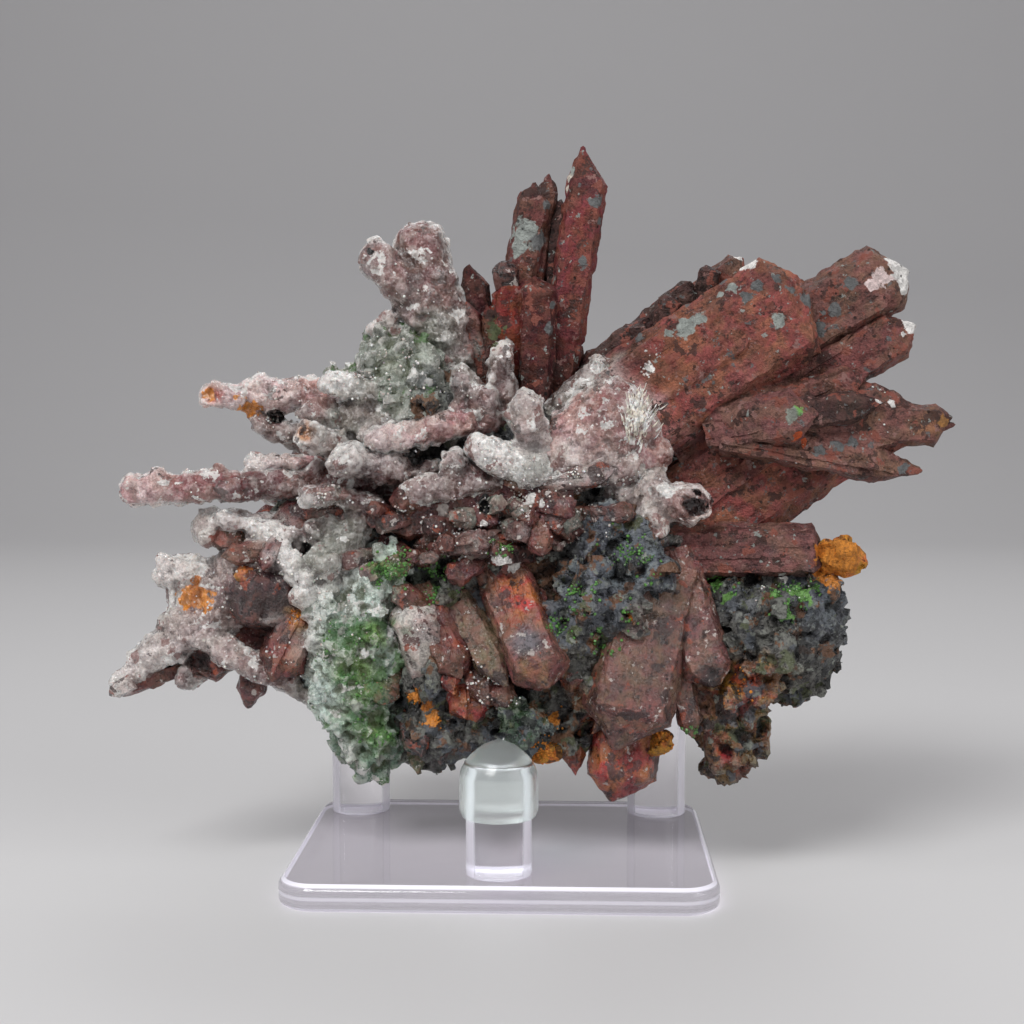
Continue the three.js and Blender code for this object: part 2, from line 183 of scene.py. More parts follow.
STOUT_POINTS = {
    "orangeFaced": ((-1, 60, -3), (8.6, 34.8, -19), 11.5, 9, 3.4, 0, "rust", 2),
    "amber": ((-10, 54, -4), (0.8, 34.6, -17), 7, 6, 6, 0, "smoky", 2),
    "glassyBits": ((-6, 42, -6), (-3, 31.4, -16), 6, 5, 4, 0, "brown", 3),
    "redSlope": ((-16, 54, -6), (-8, 36.5, -15), 7.5, 6, 3, 0, "brownRed", 2),
    "redFoot": ((-7, 40, -6), (-5.2, 27.5, -12), 8, 6, 3, 0, "orangeRed", 3),
    "paleBlock": ((-14, 38, -7), (-18.6, 52.4, -13), 9.6, 9, 3, 0.2, "pale", 2),
    "redFootTwin": ((-9.4, 37, -8), (-8, 28.4, -13.4), 5, 5, 2.4, 0.3, "orangeRed", 1),
    "redFootRight": ((-2, 38, -8), (0.6, 31, -16), 6, 5, 3, 0, "rust", 1),
    "redFootEdge": ((-12, 42, -9), (-9.6, 33.4, -15), 4.4, 4, 2.4, 0, "orangeRed", 1),
    "redChunk": ((-15, 50, -9), (-21.8, 54.8, -14), 5, 5, 2, 0, "brownRed", 0),
    "bigBrown": ((30, 58, -4), (22.4, 22.4, -17), 17.5, 13, 7, -0.1, "smooth", 1),
    "duskyTipped": ((32, 61, -4), (41.2, 34.8, -13), 10, 8, 4, 0, "mauveRed", 0),
    "pinkStub": ((33, 42, -8), (37, 25.4, -12), 5, 5, 3, 0, "smooth", 0),
    "lowestTip": ((24, 31, -4), (22.6, 12.2, -9), 13.5, 11, 5, -0.25, "orangeRed", 1),
    "smallRed": ((13, 28, -6), (14.1, 17.4, -10), 4.8, 4, 4, 0, "orangeRed", 0),
    "redBlock": ((15, 44, -8), (13, 34, -14), 5, 5, 2, 0, "wine", 0),
    "redFin": ((18, 61, -10), (16.3, 50.4, -16), 2.6, 2.4, 4, 0, "brownRed", 0),
    "lyingUpper": ((10, 75, -4), (-23.5, 66, -9), 7, 6, 4, 0, "wine", 4),
    "lyingMiddle": ((12, 70, -4), (-18, 62.5, -9), 5.5, 5, 3, 0, "brown", 4),
    "lyingLower": ((14, 67, -4), (-9.5, 61.5, -10.5), 5.5, 5, 3, 0, "greyMauve", 3),
    "standingBlock": ((7, 74, -6), (7.2, 60.4, -15), 4.6, 4, 2, 0.2, "rust", 1),
    "lyingRight": ((-4, 73, -6), (22, 77.5, -10), 5, 5, 3, 0, "wine", 3),
    "leftLying": ((-22, 70, -2), (-46, 68, -8), 6.5, 6, 4, 0, "wine", 3),
    "mauveFaced": ((-36, 51, -3), (-55, 54, -13), 13, 10, 4, 0, "plum", 1),
    "rustyFaced": ((-38, 52, -5), (-45.5, 35.6, -13), 9.5, 8, 4, 0, "brownRed", 3),
    "hangingRed": ((-47, 46, -3), (-50.4, 30, -7), 6, 5, 4, 0, "wine", 0),
    "hollowBrown": ((-48, 46, -2), (-61.5, 37.8, -9), 8.5, 7, 3, 0, "brownRed", 1),
    "glassTipped": ((-58, 40, -4), (-77.4, 33.6, -9), 3.4, 3, 2, 0, "brownRed", 1),
    "whiteEnd": ((-73, 36, -10), (-78, 32.8, -10), 3.6, 3.4, 1.6, 0, "white", 0),
    "redWindow": ((-44, 64, -4), (-58.5, 64.4, -10), 5, 5, 3, 0, "brown", 0),
    "brownStub": ((-43, 60, -5), (-50.5, 58, -12), 5.5, 5, 3, 0, "brown", 2),
    "brownFin": ((-45, 62, -9), (-55.6, 60.4, -15.4), 4.6, 4, 3, 0, "rustBrown", 2),
    "brownFinLow": ((-46, 57.5, -9), (-53, 56.6, -15), 3.4, 3, 2, 0, "amber", 1),
    "redFinLeft": ((-44, 64, -10), (-47.4, 57.4, -15.6), 3.4, 3, 2.4, 0, "wine", 0),
    "tabularEdge": ((-24, 44, -6), (-24.4, 31, -15.5), 8, 2.6, 2, 0.4, "brown", 0),
    "darkTooth": ((-14, 30, -6), (-12.4, 19.4, -12), 5, 5, 3, 0, "rockDark", 0),
    "oliveTooth": ((-17, 26, -6), (-16.8, 17.2, -10), 4, 4, 3, 0, "olive", 0),
    "darkFang": ((-18, 30, -7), (-16, 21, -14), 6, 5, 3, 0, "rockDark", 0),
    "darkKnob": ((1.2, 111.6, 2), (-0.1, 117.6, -1), 5.4, 5, 1.6, 0.2, "darkWine", 2),
}

RUBBLE_SEED = 5
RUBBLE_COUNT = 40
RUBBLE_COLOURS = ("wine", "darkWine", "brownRed", "greyMauve", "wine", "brown", "druseGrey")


def pick(rng, choices):
    return choices[int(rng.integers(len(choices)))]


def rubble_rows():
    """Short broken crystals that fill the band of lying crystals, in rows like the tables above."""
    rng = np.random.default_rng(RUBBLE_SEED)
    rows = {}
    for index in range(RUBBLE_COUNT):
        across = rng.uniform(-24, 18)
        up = 66.4 + 0.16 * across + rng.uniform(-5.5, 6)
        reach = rng.uniform(3, 12)
        turn = math.radians(rng.normal(12, 18 if index % 4 else 50))
        side = -1 if rng.uniform() < 0.6 else 1
        tip_across = across + side * reach * math.cos(turn)
        tip = (tip_across, up + side * reach * math.sin(turn), rng.uniform(-15.5, -11.5))
        width = rng.uniform(2.2, 5.0)
        colour = pick(rng, RUBBLE_COLOURS)
        point, lean = rng.uniform(0.6, 2), rng.uniform(-0.8, 0.8)
        rows[f"rubble{index}"] = ((across, up, -6), tip, width, width * 0.9, point, lean, colour,
                                  int(rng.integers(3)))
    return rows


# ---- Features: fingers under a rounded crust ----

# A finger: root, tip, radius at the root and at the tip, colour at the root and at the tip.
FINGERS = {
    "thick": ((-8, 92, 4), (-17.2, 123.8, 0), 6.1, 5.9, "greyMauve", "blushed"),
    "thickFork": ((-12, 104, 0), (-26.2, 120.2, -5), 4.4, 3.8, "mauve", "mauve"),
    "upperTube": ((-27, 92, 0), (-50, 92.2, -6), 3.7, 3.4, "pink", "pinkWhite"),
    "upperKnob": ((-44, 91.4, -4), (-58.4, 92, -8), 2.1, 2.8, "pink", "pinkWhite"),
    "underTube": ((-34, 81.6, 0), (-48.8, 87.2, -5), 2.6, 2.3, "greyMauve", "mauve"),
    "ringed": ((-29, 80.5, -3), (-39, 84.8, -14), 2.7, 2.8, "greyMauve", "pale"),
    "whiteBall": ((-15, 76.8, -5), (-33, 79.8, -14), 3.1, 3.4, "mauve", "white"),
    "pink": ((-1, 88.4, -3), (-26.2, 82.8, -12), 3.1, 2.7, "pink", "pinkWhite"),
    "roundTop": ((7, 78, -6), (3.2, 92.4, -12), 3.4, 3.6, "mauve", "pale"),
    "upright": ((0.6, 86, -2), (-0.8, 101, -6), 3, 2.6, "greyMauve", "pale"),
    "mauveUpright": ((-4.5, 82, -2), (-8.6, 96.6, -6), 3.6, 2.9, "greyMauve", "greyMauve"),
    "mauveStub": ((-3, 84, -3), (-3.8, 93.8, -8), 3, 2.8, "greyMauve", "mauve"),
    "long": ((-20, 75.6, -3), (-74.6, 73.5, -12), 3, 3, "wine", "pink"),
    "aboveLong": ((-30, 79.6, -2), (-50, 78.5, -8), 2.1, 1.8, "pink", "white"),
    "sparkling": ((-25, 71.2, -8), (-40, 73.1, -14), 2.1, 2.1, "greyMauve", "white"),
    "greyRound": ((-4, 77, -5), (-11.4, 79.8, -12), 2.7, 2.5, "greyMauve", "mauve"),
    "greyLying": ((2, 76, -6), (-19.8, 73.4, -13), 2.9, 2.7, "greyMauve", "mauve"),
    "paleStub": ((-44, 65.5, -4), (-60.2, 66, -8), 4.2, 3.6, "mauve", "pale"),
    "whiteBand": ((-40, 65, -9), (-56, 67.6, -10), 1.8, 1.7, "white", "white"),
    "whiteHook": ((-46.5, 64.2, -10), (-37.6, 55.4, -13), 2.3, 2.3, "white", "white"),
    "sheath": ((-46, 59, -4), (-76.6, 34.8, -9), 9, 2.2, "mauve", "white"),
    "sheathCorner": ((-50, 55, -5), (-67.4, 58.4, -8), 5, 3.4, "pale", "white"),
    "ribbonUpper": ((-64, 47.5, -9), (-46, 37.6, -10), 3, 2.6, "pale", "mauve"),
    "ribbonLower": ((-50, 40, -9), (-37, 32.6, -8), 2.6, 2.2, "mauve", "druseGrey"),
    "greyNub": ((-56, 42, -4), (-63.4, 35.4, -8), 2.6, 2.7, "greyMauve", "greyMauve"),
    "paleHorn": ((-30, 57, -8), (-41, 51, -13), 2.8, 2.2, "frost", "cream"),
    "brokenTube": ((22, 72, -3), (39.4, 70.9, -12), 3.6, 3.6, "pale", "mauve"),
    "brokenCrust": ((28, 78, -4), (28.6, 64, -11), 3.6, 3, "pale", "pale"),
    "topKnob": ((-20, 100, -1), (-23, 108, -3), 2.4, 1.8, "druseGrey", "pale"),
    "topNub": ((-21, 100, -2), (-26, 105.4, -4), 2.2, 1.6, "pale", "white"),
    "greyLow": ((-17, 88.6, -3), (-31, 87, -6), 4.6, 4, "druseGrey", "druseGrey"),
    "midFill": ((-22, 89, -2), (-39.4, 88.4, -6), 3.2, 2.6, "mauve", "greyMauve"),
    "greyLowNub": ((-24, 88, -5), (-27.6, 83.4, -10), 2.4, 2, "druseGrey", "pale"),
    "whiteLedge": ((-22, 92.6, -5), (-35, 94.4, -10), 3.2, 2.4, "druseGrey", "white"),
    "hazyCone": ((-26, 70, -6), (-36.6, 57, -12.4), 3, 3.8, "dusk", "druseGrey"),
    "hazyRound": ((-28, 66, -5), (-39, 65.4, -10), 2.9, 2.6, "dusk", "greyMauve"),
    "whiteCrust": ((5, 78, -9), (-7, 82.2, -13), 4.4, 2.6, "white", "white"),
    "rootHump": ((8, 78, -2), (27, 91, -3), 8.5, 9, "pink", "blushed"),
    "rootHumpLow": ((12, 80, -4), (30, 80, -3), 6.4, 6, "pinkWhite", "blushed"),
    "rootHumpEdge": ((8, 86, -2), (20, 98, -1), 3, 2.8, "druseGrey", "pale"),
    "backThin": ((-26, 71, 14), (-47, 72.6, 32), 3, 2.5, "mauve", "pale"),
    "backThinTwin": ((-20, 84, 14), (-26, 98.5, 36), 4, 3.4, "mauve", "pale"),
}
# Fingers that make the frosted root, under a crust that stays smooth.
SMOOTH_ROOTS = ("rootHump", "rootHumpLow")
UPPER_HEIGHT = 79  # fingers whose middle is above this make the upper group


# ---- Features: rock and crust ----

# A lump: centre, radii across, deep and up, and its colour.
ROCK_LUMPS = {
    "heart": ((4, 60, 6), (40, 17, 20), "rock"),
    "upperHeart": ((4, 82, 7), (21, 14, 13), "rock"),
    "rightHeart": ((37, 70, 13), (15, 8, 11), "rock"),
    "leftHeart": ((-32, 66, 4), (14, 11, 13), "rock"),
    "backHeart": ((4, 68, 18), (28, 15, 19), "rock"),
    "rightSeat": ((29.5, 53, 20), (11, 12, 9.5), "rock"),
    "leftSeat": ((-28, 53.5, 20), (11, 12, 9.5), "rock"),
    "rightRock": ((50, 46, 0), (14.5, 13, 12), "rock"),
    "rightRockEdge": ((58.5, 50, 0), (7.5, 9, 8.5), "rockBlue"),
    "rightRockFlank": ((56, 39, 0), (7, 9, 6), "rock"),
    "rightRockFoot": ((43.8, 28, -2), (7.2, 8, 9.6), "rockBrown"),
    "rightRockNeck": ((40, 37, 0), (7, 9, 8), "rock"),
    "rightRockTip": ((45.6, 20.6, -3), (2.4, 2.6, 2.4), "rockBrown"),
    "darkFoot": ((-15, 29, -4), (8, 9, 9.4), "rock"),
    "middleRock": ((15, 44, -3), (17, 13, 16), "rock"),
    "upperMiddleRock": ((21, 61, -3), (9, 8, 10), "rockBlue"),
    "middleFoot": ((10, 28, -5), (7, 8, 6.6), "rock"),
    "greenGlass": ((4, 27.2, -14.4), (4.6, 4.6, 4.6), "deepGreen"),
    "darkDruse": ((-15, 90, -2), (7, 7, 7), "rock"),
    "frontMatrix": ((18, 52, -11), (7.5, 6.5, 8.5), "rockBlue"),
    "frontMatrixUpper": ((21, 64, -8), (8, 5.5, 7), "rockBlue"),
    "frontMatrixLow": ((14, 41, -11), (4, 4, 5.5), "rock"),
    "frontMatrixRight": ((27.4, 59, -11), (5.4, 5.6, 6.4), "rockBlue"),
    "frontMatrixEdge": ((25, 49.6, -15), (3.4, 3.4, 4.4), "rock"),
    "footBridge": ((-13, 38, -8), (7, 6, 6), "rock"),
    "footRight": ((-4.5, 29, -6), (5.5, 5.5, 5), "rock"),
    "brownShelf": ((47.5, 35, -9), (6, 3.4, 3.2), "amber"),
    "footBack": ((1, 29.4, -7), (4.6, 4.2, 4.8), "rock"),
}
# Lumps that belong to the coated fingers.
COATED_LUMPS = {
    "sheathLobe": ((-59.5, 53, -5), (6.3, 6, 6), "pale"),
}
CRUST_LUMPS = {
    "greenCrust": ((-28.5, 44, -5), (11, 12, 19), "frost"),
    "crustFan": ((-22, 57.4, -10), (4.4, 3, 5.4), "frost"),
    "greenFoot": ((-26, 26, -4), (8, 9, 7.6), "paleGreen"),
    "crustFlank": ((-34.5, 40, -2), (5, 8, 9), "frost"),
    "greenDruse": ((-20, 97, -2), (8.6, 8, 8.6), "druseGrey"),
    "whiteShelf": ((-29.6, 94.6, -3), (5, 4, 3.4), "white"),
    "druseSkirt": ((-19.4, 91, -5), (6.6, 5, 5), "druseGrey"),
}
OCHRE_LUMPS = {
    "ochreEnd": ((65, 60.6, -4), (5.2, 4, 4), "ochre"),
    "ochreLow": ((7.6, 22.4, -12), (3.5, 3.2, 2.5), "ochre"),
    "ochreRight": ((30.6, 24.4, -11), (2.6, 2.4, 2.8), "ochre"),
}


# ---- Mesh helpers ----

FLAT_SHARE = 0.68  # of a crystal's width, taken by its broad face
ROOT_SWELL = 1.06  # a crystal's root against its shoulder
EDGE_REACH = 0.9  # how far the wear of an edge reaches over its faces, in millimetres
STREAK_STRETCH = 0.12  # the scale along a crystal against the scale across it, so that streaks run long
POINT_END = 0.92  # share of a crystal's point that is drawn before it is closed
CAPSULE_SIDES = 18
# A crystal's section, as shares of half its thickness and half its width.
SECTION = np.array([(0, 1), (1, FLAT_SHARE), (1, -FLAT_SHARE), (0, -1), (-1, -FLAT_SHARE), (-1, FLAT_SHARE)])


def unit(vector):
    return vector / np.linalg.norm(vector)


def ripple(points, size, seed):
    """Smooth noise, roughly from -1 to 1, at points in millimetres, with bumps about size apart."""
    rng = np.random.default_rng(seed)
    total = np.zeros(len(points))
    for _ in range(7):
        direction = unit(rng.normal(size=3)) * math.tau / size * rng.uniform(0.6, 1.5)
        total += np.sin(points @ direction + rng.uniform(0, math.tau))
    return total / 3.2


def outward(points, faces):
    """The faces, turned round where the closed shape would be inside out."""
    middle = points.mean(axis=0)
    volume = 0.0
    for face in faces:
        corners = points[list(face)] - middle
        for i in range(1, len(face) - 1):
            volume += np.dot(corners[0], np.cross(corners[i], corners[i + 1]))
    return faces if volume > 0 else [tuple(reversed(face)) for face in faces]


def join(shapes):
    """One shape from several, each given as its points, faces and colours."""
    points, faces, tints, start = [], [], [], 0
    for shape_points, shape_faces, shape_tints in shapes:
        points.append(shape_points)
        tints.append(shape_tints)
        faces.extend(tuple(corner + start for corner in face) for face in shape_faces)
        start += len(shape_points)
    return np.vstack(points), faces, np.vstack(tints)


def ring_faces(size, rings):
    """Faces between rings of size corners each, laid end to end."""
    faces = []
    for start in range(0, (rings - 1) * size, size):
        for i in range(size):
            j = (i + 1) % size
            faces.append((start + i, start + j, start + size + j, start + size + i))
    return faces


def closed_tube(rings, start_point, end_point, points):
    """Faces for rings of equal length laid end to end in points, closed by a fan at each end."""
    count = len(points)
    size = count // rings
    faces = ring_faces(size, rings)
    last = (rings - 1) * size
    for i in range(size):
        j = (i + 1) % size
        faces.append((count, j, i))
        faces.append((count + 1, last + i, last + j))
    return np.vstack([points, start_point, end_point]), faces


def circle_about(across, through, sides):
    """Directions round an axis, from two directions square to it."""
    turn = np.linspace(0, math.tau, sides, endpoint=False)
    return np.outer(np.cos(turn), through) + np.outer(np.sin(turn), across)


def axes_of(root, tip):
    """Along, across and through the front of something that grows from root to tip."""
    along = unit(tip - root)
    across = unit(np.cross(along, BACKWARDS))
    return along, across, np.cross(along, across)


def prism(root, tip, width, thickness, point, lean, tint, spacing, seed, wear=0.22):
    """A six-sided crystal between two points in millimetres, with a grid of corners about spacing apart.

    Beside its colour, each corner keeps its place along the crystal's own axes, for streaks.
    """
    along, across, through = axes_of(root, tip)
    length = np.linalg.norm(tip - root)
    shoulder = length - point

    def ring(height, section):
        return root + along * height + np.outer(section[:, 0], through) + np.outer(section[:, 1], across)

    corners = SECTION * (thickness / 2, width / 2)
    outline, edge = [], []
    for corner, following in zip(corners, np.roll(corners, -1, axis=0)):
        side = np.linalg.norm(following - corner)
        steps = max(1, round(side / spacing))
        for i in range(steps):
            outline.append(corner + (following - corner) * i / steps)
            edge.append(math.exp(-(min(i, steps - i) * side / steps / EDGE_REACH) ** 2))
    outline, edge = np.array(outline), np.array(edge)
    apex = np.array((0.0, lean * width / 2))
    body = np.linspace(0, shoulder, max(2, round(shoulder / spacing)) + 1)
    head = np.linspace(0, POINT_END, max(3, round(math.hypot(point, width / 2) / spacing)) + 1)[1:]
    rings = [ring(height, outline * (ROOT_SWELL + (1 - ROOT_SWELL) * height / shoulder)) for height in body]
    rings += [ring(shoulder + point * share, outline + (apex - outline) * share) for share in head]
    end = root + along * (length - 0.05 * point) + across * apex[1]
    points, faces = closed_tube(len(rings), root, end, np.vstack(rings))
    faces = outward(points, faces)
    edge = np.append(np.tile(edge, len(rings)), (1, 1))
    inside = points - root
    height = inside @ along
    away = inside - np.outer(height, along)
    reach = np.linalg.norm(away, axis=1)
    away /= np.maximum(reach, 0.3)[:, None]
    rough = wear * (0.6 * ripple(points, 7, seed) + 0.4 * ripple(points, 2.6, seed + 1))
    chips = min(0.1 * width, 1.0) * np.clip(ripple(points, 6.5, seed + 5) - 0.45, 0, 1) * edge
    broken = min(0.13 * point, 0.7) * np.clip(ripple(points, 3.4, seed + 6), 0, 1)
    broken *= np.clip((height - shoulder) / point + 0.15, 0, 1)
    local = np.stack([inside @ across, inside @ through, STREAK_STRETCH * height], axis=1) + 13.7 * seed % 900
    worn = (np.minimum(rough, 0.4 * wear) - chips - 0.08 * edge) * np.clip(reach / 2.4, 0, 1)
    points = points + away * worn[:, None] - np.outer(broken, along)
    shade = 1 + 0.09 * ripple(points, 9, seed + 2)
    return points, faces, np.hstack([np.clip(tint * shade[:, None], 0, 1), local * MM])


def grown_crystal(row, spacing, seed):
    """A crystal with the thinner crystals that grew along its faces."""
    root_place, tip_place, width, thickness, point, lean, colour, slabs = row
    root, tip = place(*root_place), place(*tip_place)
    tint = linear(colour)
    shapes = [prism(root, tip, width, thickness, point, lean, tint, spacing, seed)]
    along, across, through = axes_of(root, tip)
    length = np.linalg.norm(tip - root)
    rng = np.random.default_rng(seed)
    for index in range(slabs):
        slab_width = width * rng.uniform(0.16, 0.42)
        slab_thickness = min(thickness * 0.6, 3.4)
        side = 1 if index % 3 else -1
        shift = rng.uniform(-0.5, 0.5) * (width * 1.02 - slab_width)
        proud = rng.uniform(0.2, 0.95) - 1.1 * (2 * abs(shift) / width) ** 3
        reach = rng.uniform(0.5, 0.97)
        base = root + across * shift + through * side * (thickness / 2 - slab_thickness / 2 + proud)
        end = base + along * length * reach + across * rng.uniform(-0.6, 0.6)
        shade = rng.uniform(0.82, 1.15)
        slab_point = min(point, 4) * rng.uniform(0.4, 1)
        shapes.append(prism(base, end, slab_width, slab_thickness, slab_point, rng.uniform(-0.8, 0.8),
                            np.clip(tint * shade, 0, 1), spacing * 1.25, seed + 40 + index))
    return shapes


def capsule(a, b, radius_a, radius_b):
    """A round-ended tube between two points in millimetres."""
    along, across, through = axes_of(a, b)
    length = np.linalg.norm(b - a)
    opening, closing = np.linspace(0.35, math.pi / 2, 5), np.linspace(math.pi / 2, 0.35, 5)
    steps = max(2, round(length / 1.5))
    profile = [(-math.cos(t) * radius_a, math.sin(t) * radius_a) for t in opening]
    profile += [(length * i / steps, radius_a + (radius_b - radius_a) * i / steps) for i in range(1, steps)]
    profile += [(length + math.cos(t) * radius_b, math.sin(t) * radius_b) for t in closing]
    circle = circle_about(across, through, CAPSULE_SIDES)
    points = np.vstack([a + along * height + circle * radius for height, radius in profile])
    points, faces = closed_tube(len(profile), a - along * radius_a, b + along * radius_b, points)
    return points, outward(points, faces), np.ones((len(points), 3))


def ball_template(levels):
    mesh = bmesh.new()
    bmesh.ops.create_icosphere(mesh, subdivisions=levels, radius=1)
    points = np.array([vertex.co[:] for vertex in mesh.verts])
    faces = [tuple(vertex.index for vertex in face.verts) for face in mesh.faces]
    mesh.free()
    return points, faces


def ellipsoid(centre, radii, levels=4, rough=0.0, seed=0):
    """A ball stretched to three radii, with a bumpy surface."""
    points, faces = ball_template(levels)
    bumps = 1 + rough * (ripple(points * radii, 9, seed) + 0.5 * ripple(points * radii, 3.6, seed + 1))
    return points * radii * bumps[:, None] + centre, faces, np.ones((len(points), 3))


def beads(centres, radii):
    """Many small balls as one shape."""
    ball, ball_faces = ball_template(2)
    ones = np.ones((len(ball), 3))
    return join([(ball * radius + centre, ball_faces, ones) for centre, radius in zip(centres, radii)])


def shards(centres, sizes, seed):
    """Many angular blocks as one shape, each turned its own way."""
    rng = np.random.default_rng(seed)
    cube = np.array([(x, y, z) for x in (-1, 1) for y in (-1, 1) for z in (-1, 1)], float)
    cube_faces = [(0, 1, 3, 2), (4, 6, 7, 5), (0, 4, 5, 1), (2, 3, 7, 6), (0, 2, 6, 4), (1, 5, 7, 3)]
    shapes = []
    for centre, size in zip(centres, sizes):
        turn, _ = np.linalg.qr(rng.normal(size=(3, 3)))
        if np.linalg.det(turn) < 0:
            turn[:, 0] *= -1
        block = cube * rng.uniform(0.35, 1, size=3) * size * rng.uniform(0.8, 1, size=(8, 1))
        shapes.append((block @ turn.T + centre, cube_faces, np.ones((8, 3))))
    return join(shapes)


def surface_points(shape, count, seed):
    """Points spread at random over a shape, with the way that it faces there."""
    points, faces, _ = shape
    triangles = np.array([(face[0], face[i], face[i + 1]) for face in faces for i in range(1, len(face) - 1)])
    a, b, c = (points[triangles[:, k]] for k in range(3))
    facing = np.cross(b - a, c - a)
    area = np.linalg.norm(facing, axis=1)
    rng = np.random.default_rng(seed)
    chosen = rng.choice(len(triangles), size=count, p=area / area.sum())
    u, v = rng.uniform(size=(2, count))
    flip = u + v > 1
    u[flip], v[flip] = 1 - u[flip], 1 - v[flip]
    spots = a[chosen] + (b - a)[chosen] * u[:, None] + (c - a)[chosen] * v[:, None]
    return spots, facing[chosen] / np.maximum(area[chosen], 1e-9)[:, None]


# ---- Colour by the nearest feature ----


def finger_feature(row):
    root_place, tip_place, root_radius, tip_radius, root_colour, tip_colour = row
    root, tip = place(*root_place), place(*tip_place)
    return root, tip, root_radius, tip_radius, linear(root_colour), linear(tip_colour)


def tint_from_fingers(points, features):
    """Each point's colour, its distance from the nearest finger, and how far that turns from the front, for
    the painted rim sheen.
    """
    distances, colours = [], []
    for a, b, radius_a, radius_b, colour_a, colour_b in features:
        along = b - a
        share = np.clip((points - a) @ along / (along @ along), 0, 1)
        middle = a + share[:, None] * along
        away = points - middle
        gap = np.maximum(np.linalg.norm(away, axis=1), 0.3)
        distances.append(gap - (radius_a + (radius_b - radius_a) * share))
        blend = (share ** 1.6)[:, None]
        turned = 1 - np.abs(away[:, 1]) / gap
        colours.append(np.hstack([colour_a * (1 - blend) + colour_b * blend, turned[:, None]]))
    blended, distance = soft_nearest(distances, colours)
    return blended[:, :3], distance, blended[:, 3]


def tint_from_lumps(points, rows):
    """Each point's colour, and its distance from the nearest lump's surface."""
    distances, colours = [], []
    for centre_place, radii, colour in rows:
        radii = np.array(radii, float)
        reach = np.linalg.norm((points - place(*centre_place)) / radii, axis=1)
        distances.append((reach - 1) * radii.min())
        colours.append(np.tile(linear(colour), (len(points), 1)))
    return soft_nearest(distances, colours)


def soft_nearest(distances, colours, softness=0.9):
    """The nearest feature's values, blended over softness millimetres where two meet."""
    distances = np.array(distances)
    weights = np.exp(-(distances - distances.min(axis=0)) / softness)
    weights /= weights.sum(axis=0)
    return np.einsum("fp,fpc->pc", weights, np.array(colours)), distances.min(axis=0)


# ---- Objects ----


def new_object(name, points, faces):
    """An object at the origin, from points in millimetres."""
    mesh = bpy.data.meshes.new(name)
    mesh.from_pydata((points * MM).tolist(), [], faces)
    mesh.update()
    piece = bpy.data.objects.new(name, mesh)
    bpy.context.scene.collection.objects.link(piece)
    return piece


def read(items, key, width, kind=np.float32):
    """A value of every item, in rows of width numbers."""
    flat = np.empty(len(items) * width, kind)
    items.foreach_get(key, flat)
    return flat.reshape(-1, width)


def positions(mesh):
    """The mesh's corners in millimetres."""
    return read(mesh.vertices, "co", 3).astype(float) / MM


def vertex_normals(mesh):
    return read(mesh.vertex_normals, "vector", 3).astype(float)


def move_to(mesh, points):
    mesh.vertices.foreach_set("co", (points * MM).astype(np.float32).ravel())
    mesh.update()


def store(mesh, name, values):
    """Keeps a number or a colour for each corner of the mesh."""
    kind = "FLOAT" if values.ndim == 1 else "FLOAT_COLOR"
    attribute = mesh.attributes.get(name) or mesh.attributes.new(name, kind, "POINT")
    if values.ndim == 1:
        attribute.data.foreach_set("value", values.astype(np.float32))
    else:
        colours = np.hstack([values, np.ones((len(values), 1))])
        attribute.data.foreach_set("color", colours.astype(np.float32).ravel())


def stored(mesh, name):
    """The colour kept for each corner of the mesh."""
    return read(mesh.attributes[name].data, "color", 4)[:, :3].astype(float)


def freeze(piece):
    """Makes the piece a plain mesh with its modifiers' result."""
    depsgraph = bpy.context.evaluated_depsgraph_get()
    result = bpy.data.meshes.new_from_object(piece.evaluated_get(depsgraph), preserve_all_data_layers=True,
                                             depsgraph=depsgraph)
    old = piece.data
    piece.modifiers.clear()
    piece.data = result
    bpy.data.meshes.remove(old)
    result.name = piece.name
    return piece


def set_inputs(modifier, values):
    """Sets a Geometry Nodes modifier's inputs by their sockets' identifiers."""
    for item in modifier.node_group.interface.items_tree:
        if item.item_type == "SOCKET" and item.in_out == "INPUT" and item.name in values:
            modifier[item.identifier] = values[item.name]


def convexity(mesh, near=2, far=14):
    """How far each corner stands out from its surroundings, roughly from -1 in hollows to 1 on ridges.

    The surroundings are near and far rounds of neighbours.
    """
    a, b = read(mesh.edges, "vertices", 2, np.int32).T
    points, facing = positions(mesh), vertex_normals(mesh)
    count = len(points)
    degree = np.maximum(np.bincount(a, minlength=count) + np.bincount(b, minlength=count), 1)

    def neighbours(values):
        total = np.bincount(a, weights=values[b], minlength=count)
        return (total + np.bincount(b, weights=values[a], minlength=count)) / degree

    middle = points
    total = np.zeros(count)
    for step in range(1, far + 1):
        middle = np.stack([neighbours(middle[:, k]) for k in range(3)], axis=1)
        if step in (near, far):
            proud = np.einsum("ij,ij->i", points - middle, facing)
            total += 0.6 * np.clip(proud / (proud.std() * 1.6 + 1e-9), -1.6, 1.6)
    return np.clip(neighbours(total), -1.5, 1.5)


def dress(piece, nodes, slot, material=None):
    """Hides the CAD nodes that the piece stands for, fastens it to the root body, and gives it its material
    and finish slot.
    """
    if material is not None:
        piece.data.materials.append(material)
    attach(piece, "root")
    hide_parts(*nodes)
    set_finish(piece, slot)
    return piece


def smooth_shade(mesh, sharp_degrees=None):
    mesh.shade_smooth()
    if sharp_degrees is not None:
        mesh.set_sharp_from_angle(angle=math.radians(sharp_degrees))


# ---- Node trees ----

NOISE_RANGE = (0.3, 0.7)  # most of a noise's values
NOISE_SPREAD = 0.155  # their standard deviation
